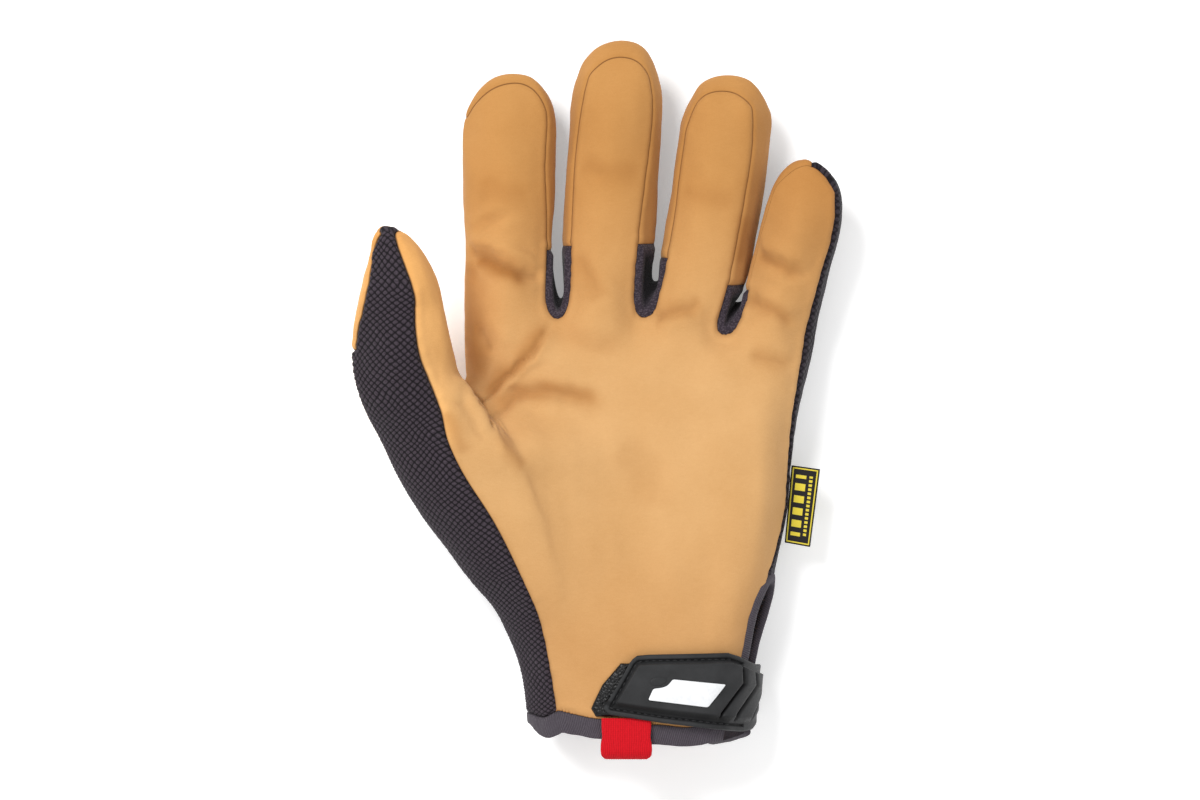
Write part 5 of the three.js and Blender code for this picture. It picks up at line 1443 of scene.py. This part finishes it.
# The thread lies in the channel: one stitch is modelled and copied along it.
bpy.ops.object.select_all(action="DESELECT")
bpy.ops.mesh.primitive_uv_sphere_add(segments=8, ring_count=6, radius=1.0, location=(0, 0, 0))
stitch = bpy.context.object
stitch_shape = np.array([tuple(v.co) for v in stitch.data.vertices])
stitch_faces = [list(p.vertices) for p in stitch.data.polygons]
bpy.data.objects.remove(stitch)
sewn_line = [(46.5, -90.4), (17.0, -90.9), (13.6, -91.2), (12.2, -91.9), (7.0, -100.3), (3.5, -106.5),
             (3.1, -107.3), (4.6, -107.8), (22.6, -110.6), (39.6, -112.65), (47.0, -113.4)]
legs = np.array(sewn_line)
lengths = np.linalg.norm(np.diff(legs, axis=0), axis=1)
marks_at = np.concatenate([[0], np.cumsum(lengths)])
sewn_points, sewn_faces = [], []
for start in np.arange(1.2, marks_at[-1] - 1.2, 2.45):
    pair = [np.array([np.interp(start + d, marks_at, legs[:, k]) for k in range(2)]) for d in (-0.1, 0.1)]
    way = (pair[1] - pair[0]) / np.linalg.norm(pair[1] - pair[0])
    centre = 0.5 * (pair[0] + pair[1])
    x = centre[0] + stitch_shape[:, 0] * 0.85 * way[0] - stitch_shape[:, 1] * 0.26 * way[1]
    y = centre[1] + stitch_shape[:, 0] * 0.85 * way[1] + stitch_shape[:, 1] * 0.26 * way[0]
    height = strap_lift(x) + flange - 0.42 + stitch_shape[:, 2] * 0.24 - 0.12 * stitch_shape[:, 0] ** 2
    shift = len(sewn_points) * len(stitch_shape)
    sewn_points.append(wrapped(x, y, height))
    sewn_faces += [[v + shift for v in f] for f in stitch_faces]
thread_mesh = bpy.data.meshes.new("strap_thread")
thread_mesh.from_pydata((np.concatenate(sewn_points) / 1000).tolist(), [], sewn_faces)
thread_mesh.shade_smooth()
strap_thread = bpy.data.objects.new("strap_thread", thread_mesh)
scene.collection.objects.link(strap_thread)
thread, tree, shader = finish("black_thread", 0.6)
place = node(tree, "ShaderNodeTexCoord").outputs["Object"]
twist = noise(tree, place, 3000.0, 2.0)
colour = blend(tree, twist, (0.006, 0.006, 0.007, 1), (0.028, 0.028, 0.030, 1))
tree.links.new(colour, shader.inputs["Base Color"])
strap_thread.data.materials.append(thread)
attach(strap_thread, "root")

# Hook tape
# The strap's fastener: a stiff black tape with a field of small hooks, glued and sewn under its end.

hook_left = [(0, 6.5), (0.4, 0.0), (0.85, -4.4), (1, -2.6)]
hook_right, hook_top, hook_tall = 34.0, -91.8, 18.6
bpy.ops.object.select_all(action="DESELECT")
bpy.ops.mesh.primitive_grid_add(x_subdivisions=120, y_subdivisions=64, size=1.0, location=(0, 0, 0))
hooks = bpy.context.object
hooks.name = "hook_field"
flat = np.array([tuple(v.co) for v in hooks.data.vertices])
s, v = flat[:, 0] + 0.5, 0.5 - flat[:, 1]
left = knots(hook_left, v)
x = left + (hook_right - left) * s
y = hook_top - hook_tall * v
waves_x = np.sin(2 * math.pi * x / 1.1 + 1.2 * np.sin(5.0 * y))
waves_y = np.sin(2 * math.pi * y / 1.3 + 1.5 * np.sin(3.1 * x))
tooth = np.clip(waves_x * waves_y, 0, 1)
inside = np.minimum(np.minimum(s, v), 1 - v) * 20
height = 1.45 + 0.38 * tooth * np.clip(inside - 0.4, 0, 1) - 0.7 * np.clip(1 - inside, 0, 1) ** 2
hooks.data.vertices.foreach_set("co", (wrapped(x, y, height) / 1000).ravel())
bpy.ops.object.modifier_add(type="SOLIDIFY")
hooks.modifiers[0].thickness = 0.0009
hooks.modifiers[0].offset = -1.0
bpy.ops.object.modifier_apply(modifier=hooks.modifiers[0].name)
hooks.data.shade_smooth()
hook_black, tree, shader = finish("hook_black", 0.4, specular=0.3)
place = node(tree, "ShaderNodeTexCoord").outputs["Object"]
glint = node(tree, "ShaderNodeTexVoronoi", None, Vector=place, Scale=1100.0).outputs["Distance"]
# Painted highlight: sparse light grey specks in the black base colour stand for glints on the hooks.
painted_glints = fitted_range(tree, glint, 0.11, 0.03)
colour = blend(tree, painted_glints, (0.004, 0.004, 0.0045, 1), (0.16, 0.16, 0.16, 1))
tree.links.new(colour, shader.inputs["Base Color"])
emboss(tree, shader, glint, 0.6, 0.0004)
hooks.data.materials.append(hook_black)
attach(hooks, "root")
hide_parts("hook_tape")

# White patch
# A thin glossy plate for writing on, let into the strap's raised field, with a plain raised pad beside
# its notched corner.

patch_outline = [(24.6, -97.3), (42.7, -99.2), (36.6, -107.1), (16.2, -104.5), (17.9, -100.6), (21.0, -100.2),
                 (22.6, -99.6), (23.6, -98.6)]


def rounded_outline(corners, radius, steps=4):
    out = []
    for before, here, after in zip(corners[-1:] + corners[:-1], corners, corners[1:] + corners[:1]):
        a, b, c = (np.array(p, dtype=float) for p in (before, here, after))
        r = min(radius, 0.4 * np.linalg.norm(a - b), 0.4 * np.linalg.norm(c - b))
        p, q = b + (a - b) / np.linalg.norm(a - b) * r, b + (c - b) / np.linalg.norm(c - b) * r
        out += [(1 - t) ** 2 * p + 2 * t * (1 - t) * b + t * t * q for t in np.linspace(0, 1, steps + 1)]
    return np.array(out)


def plate(name, outline, low, high, bevel):
    """A thin plate of the given outline, modelled flat with a bevelled edge and wrapped over the strap."""
    bpy.ops.object.select_all(action="DESELECT")
    bpy.ops.mesh.primitive_circle_add(vertices=len(outline), radius=1.0, fill_type="NGON", location=(0, 0, 0))
    made = bpy.context.object
    made.name = name
    centre = outline.mean(axis=0)
    for vertex, (x, y) in zip(made.data.vertices, outline[::-1]):
        vertex.co = ((x - centre[0]) / 1000, (y - centre[1]) / 1000, 0)
    bpy.ops.object.mode_set(mode="EDIT")
    bpy.ops.mesh.select_all(action="SELECT")
    bpy.ops.mesh.extrude_region_move(TRANSFORM_OT_translate={"value": (0, 0, (high - low) / 1000)})
    bpy.ops.mesh.inset(thickness=bevel / 1000, depth=0.0)
    bpy.ops.transform.translate(value=(0, 0, 0.35 * bevel / 1000))
    for share in np.linspace(0.08, 0.92, 12):
        bpy.ops.mesh.select_all(action="SELECT")
        x = np.interp(share, [0, 1], [outline[:, 0].min(), outline[:, 0].max()])
        bpy.ops.mesh.bisect(plane_co=((x - centre[0]) / 1000, 0, 0), plane_no=(1, 0, 0))
    bpy.ops.mesh.select_all(action="SELECT")
    bpy.ops.mesh.normals_make_consistent(inside=False)
    bpy.ops.object.mode_set(mode="OBJECT")
    flat = np.array([tuple(v.co) for v in made.data.vertices]) * 1000
    x, y = flat[:, 0] + centre[0], flat[:, 1] + centre[1]
    at = wrapped(x, y, strap_lift(x) + low + flat[:, 2])
    made.data.vertices.foreach_set("co", (at / 1000).ravel())
    made.data.update()
    made.data.shade_smooth()
    made.data.set_sharp_from_angle(angle=math.radians(35))
    return made


writing_patch = plate("writing_patch", rounded_outline(patch_outline, 0.7), field + 0.02, field + 0.45, 0.25)
patch_white, tree, shader = finish("patch_white", 0.35, specular=0.3)
place = node(tree, "ShaderNodeTexCoord").outputs["Object"]
scuff = noise(tree, place, 400.0, 4.0, 0.7)
colour = blend(tree, fitted_range(tree, scuff, 0.35, 0.75), (0.80, 0.81, 0.82, 1), (0.70, 0.71, 0.73, 1))
tree.links.new(colour, shader.inputs["Base Color"])
tree.links.new(fitted_range(tree, scuff, 0.3, 0.7, 0.3, 0.45), shader.inputs["Roughness"])
writing_patch.data.materials.append(patch_white)
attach(writing_patch, "root")
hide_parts("id_patch")

pad_turns = np.linspace(0, 2 * math.pi, 28, endpoint=False)
pad_x = 19.6 + 2.7 * np.cos(pad_turns) + 0.5 * np.sin(pad_turns)
pad_y = -98.0 + 1.45 * np.sin(pad_turns)
pad_outline = np.stack([pad_x, pad_y], axis=1)
grip_pad = plate("grip_pad", pad_outline, field - 0.1, field + 0.22, 0.35)
grip_pad.data.materials.append(rubber)
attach(grip_pad, "root")

# Pull tab
# A short loop of red grosgrain webbing, folded over the cuff's edge and sewn down on both sides, for
# pulling the glove on.

tab_left, tab_right, tab_thick = 0.0, 17.3, 1.4
gap_below = 2.05
tab_start, tab_end = -110.9, -124.6
turn_y = tab_end + gap_below + 1.5
tab_path = [(y, 0.0) for y in np.linspace(tab_start, turn_y, 18)]
tab_path += [(turn_y - math.sin(t) * (gap_below + 1.5), (math.cos(t) - 1) * (gap_below + 0.75))
             for t in np.linspace(0, math.pi, 15)[1:-1]]
tab_path += [(y, -2 * gap_below - 1.5) for y in np.linspace(turn_y, -114.5, 12)]
tab_path = np.array(tab_path)
run = np.gradient(tab_path, axis=0)
run /= np.linalg.norm(run, axis=1)[:, None]
widths = np.linspace(tab_left, tab_right, 53)
base = wrapped(widths, np.full(len(widths), -113.5), np.zeros(len(widths)))
sheets = []
for sign in (1, -1):
    layer = np.zeros((len(tab_path), len(widths), 3))
    edge = np.minimum(widths - tab_left, tab_right - widths)
    half = 0.5 * tab_thick * (1 - 0.55 * np.clip(1 - edge / 0.8, 0, 1) ** 2)
    half += 0.05 * np.sin(2 * math.pi * widths / 0.9)
    for i, ((y, drop), way) in enumerate(zip(tab_path, run)):
        pinch = 0.25 * math.exp(-((y + 117.5) / 2.2) ** 2) * (1 if drop > -1 else 0)
        spread = 0.35 * math.exp(-((y + 121.5) / 2.5) ** 2)
        middle = 0.5 * (tab_left + tab_right)
        corner = 1.0 * max(0.0, 1 - (y - tab_end) / 1.2) ** 2
        scale = 1 + (spread - pinch - corner) / (0.5 * (tab_right - tab_left))
        layer[i, :, 0] = middle + (widths - middle) * scale
        layer[i, :, 1] = y + sign * half * way[1]
        layer[i, :, 2] = base[:, 2] + binding_proud + 0.7 + 0.75 + drop - sign * half * way[0]
    sheets.append(layer)
rows_n, cols_n = sheets[0].shape[:2]
at = np.concatenate([sheets[0].reshape(-1, 3), sheets[1].reshape(-1, 3)])
i, j = (g.ravel() for g in np.meshgrid(np.arange(rows_n - 1), np.arange(cols_n - 1), indexing="ij"))
a = i * cols_n + j
upper_quads = np.stack([a, a + cols_n, a + cols_n + 1, a + 1], axis=1)
lower_quads = upper_quads[:, ::-1] + rows_n * cols_n
border = list(range(cols_n)) + [r * cols_n + cols_n - 1 for r in range(1, rows_n)]
border += [(rows_n - 1) * cols_n + c for c in range(cols_n - 2, -1, -1)]
border += [r * cols_n for r in range(rows_n - 2, 0, -1)]
border = np.array(border)
after = np.roll(border, -1)
edge_quads = np.stack([border, after, after + rows_n * cols_n, border + rows_n * cols_n], axis=1)
travel = np.concatenate([[0], np.cumsum(np.linalg.norm(np.diff(tab_path, axis=0), axis=1))])
uv_all = np.stack([np.tile(widths, rows_n), np.repeat(travel, cols_n)], axis=1)
uv_all = np.concatenate([uv_all, uv_all])
tab = mesh_piece("webbing_tab", at, [upper_quads, lower_quads, edge_quads],
                 [uv_all[upper_quads], uv_all[lower_quads], uv_all[edge_quads]], sharp=60)
webbing, tree, shader = finish("red_webbing", 0.75, sheen=0.0, specular=0.12)
cloth_map = node(tree, "ShaderNodeUVMap", {"uv_map": "cloth"}).outputs[0]
axes = node(tree, "ShaderNodeSeparateXYZ", None, Vector=cloth_map)
rib_turn = maths(tree, "MULTIPLY", axes.outputs[0], 2 * math.pi / 0.62)
rib = maths(tree, "MULTIPLY_ADD", maths(tree, "SINE", rib_turn), 0.5, 0.5)
pick_turn = maths(tree, "MULTIPLY", axes.outputs[1], 2 * math.pi / 0.7)
pick = maths(tree, "MULTIPLY_ADD", maths(tree, "SINE", pick_turn), 0.5, 0.5)
place = node(tree, "ShaderNodeTexCoord").outputs["Object"]
fuzz = noise(tree, place, 1300.0, 3.0)
lift = maths(tree, "ADD", maths(tree, "MULTIPLY", rib, 0.65), maths(tree, "MULTIPLY", pick, 0.12))
tone = maths(tree, "ADD", maths(tree, "MULTIPLY", lift, 0.7), maths(tree, "MULTIPLY", fuzz, 0.4), clamp=True)
colour = blend(tree, tone, (0.34, 0.002, 0.006, 1), (0.72, 0.008, 0.018, 1))
tree.links.new(colour, shader.inputs["Base Color"])
emboss(tree, shader, lift, 0.6, 0.00025)
tab.data.materials.append(webbing)
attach(tab, "root")
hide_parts("pull_tab")

# Side label
# A stiff woven label is caught in the side seam. It has a narrow yellow frame round a plain woven field
# of bars.

label_corners = [(66.5, -22.8), (76.5, -24.2), (73.0, -51.5), (64.1, -49.9)]
bpy.ops.object.select_all(action="DESELECT")
bpy.ops.mesh.primitive_grid_add(x_subdivisions=10, y_subdivisions=28, size=1.0, location=(0, 0, 0))
tag = bpy.context.object
tag.name = "woven_label"
label_map = tag.data.uv_layers[0] if tag.data.uv_layers else tag.data.uv_layers.new(name="cloth")
label_map.name = "cloth"
flat = np.array([tuple(v.co) for v in tag.data.vertices])
s, v = flat[:, 0] + 0.5, 0.5 - flat[:, 1]
a, b, c, d = (np.array(p) for p in label_corners)
upper_side = (1 - s)[:, None] * a + s[:, None] * b
lower_side = (1 - s)[:, None] * d + s[:, None] * c
plan = (1 - v)[:, None] * upper_side + v[:, None] * lower_side
height = 16.95 + 0.5 * np.sin(math.pi * v) * s + 0.25 * s * s
tag.data.vertices.foreach_set("co", (np.column_stack([plan, height]) / 1000).ravel())
for loop in tag.data.loops:
    label_map.data[loop.index].uv = (s[loop.vertex_index] * 10.0, (1 - v[loop.vertex_index]) * 27.5)
bpy.ops.object.modifier_add(type="SOLIDIFY")
tag.modifiers[0].thickness = 0.0009
tag.modifiers[0].offset = -1.0
bpy.ops.object.modifier_apply(modifier=tag.modifiers[0].name)
bpy.ops.object.modifier_add(type="BEVEL")
tag.modifiers[0].width = 0.00018
tag.modifiers[0].segments = 2
bpy.ops.object.modifier_apply(modifier=tag.modifiers[0].name)
tag.data.shade_smooth()
tag.data.set_sharp_from_angle(angle=math.radians(40))

woven, tree, shader = finish("woven_label", 0.75, sheen=0.1, specular=0.25)
cloth_map = node(tree, "ShaderNodeUVMap", {"uv_map": "cloth"}).outputs[0]
axes = node(tree, "ShaderNodeSeparateXYZ", None, Vector=cloth_map)
across, along = axes.outputs[0], axes.outputs[1]


def within(value, low, high):
    above = maths(tree, "GREATER_THAN", value, low)
    return maths(tree, "MULTIPLY", above, maths(tree, "LESS_THAN", value, high))


outer = maths(tree, "MULTIPLY", within(across, 0.55, 9.45), within(along, 0.55, 26.95))
inner = maths(tree, "MULTIPLY", within(across, 1.0, 9.0), within(along, 1.0, 26.5))
frame_line = maths(tree, "SUBTRACT", outer, inner)
wide_bar = maths(tree, "MULTIPLY", within(across, 1.9, 5.6), within(along, 3.0, 24.5))
gaps = maths(tree, "GREATER_THAN", maths(tree, "FRACT", maths(tree, "DIVIDE", along, 4.3)), 0.42)
narrow_bar = maths(tree, "MULTIPLY", within(across, 6.7, 7.9), within(along, 3.0, 24.5))
dashes = maths(tree, "GREATER_THAN", maths(tree, "FRACT", maths(tree, "DIVIDE", along, 1.45)), 0.4)
yellow = maths(tree, "ADD", frame_line, maths(tree, "MULTIPLY", wide_bar, gaps), clamp=True)
yellow = maths(tree, "ADD", yellow, maths(tree, "MULTIPLY", narrow_bar, dashes), clamp=True)
threads = maths(tree, "MULTIPLY", maths(tree, "SINE", maths(tree, "MULTIPLY", across, 14.0)),
                maths(tree, "SINE", maths(tree, "MULTIPLY", along, 14.0)))
tint = fitted_range(tree, threads, -1.0, 1.0, 0.7, 1.1)
shade = node(tree, "ShaderNodeCombineColor", None, Red=tint, Green=tint, Blue=tint).outputs[0]
colour = blend(tree, yellow, (0.012, 0.011, 0.012, 1), (0.74, 0.60, 0.055, 1))
tree.links.new(blend(tree, 1.0, colour, shade, "MULTIPLY"), shader.inputs["Base Color"])
emboss(tree, shader, threads, 0.5, 0.0001)
tag.data.materials.append(woven)
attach(tag, "root")
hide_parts("side_label")
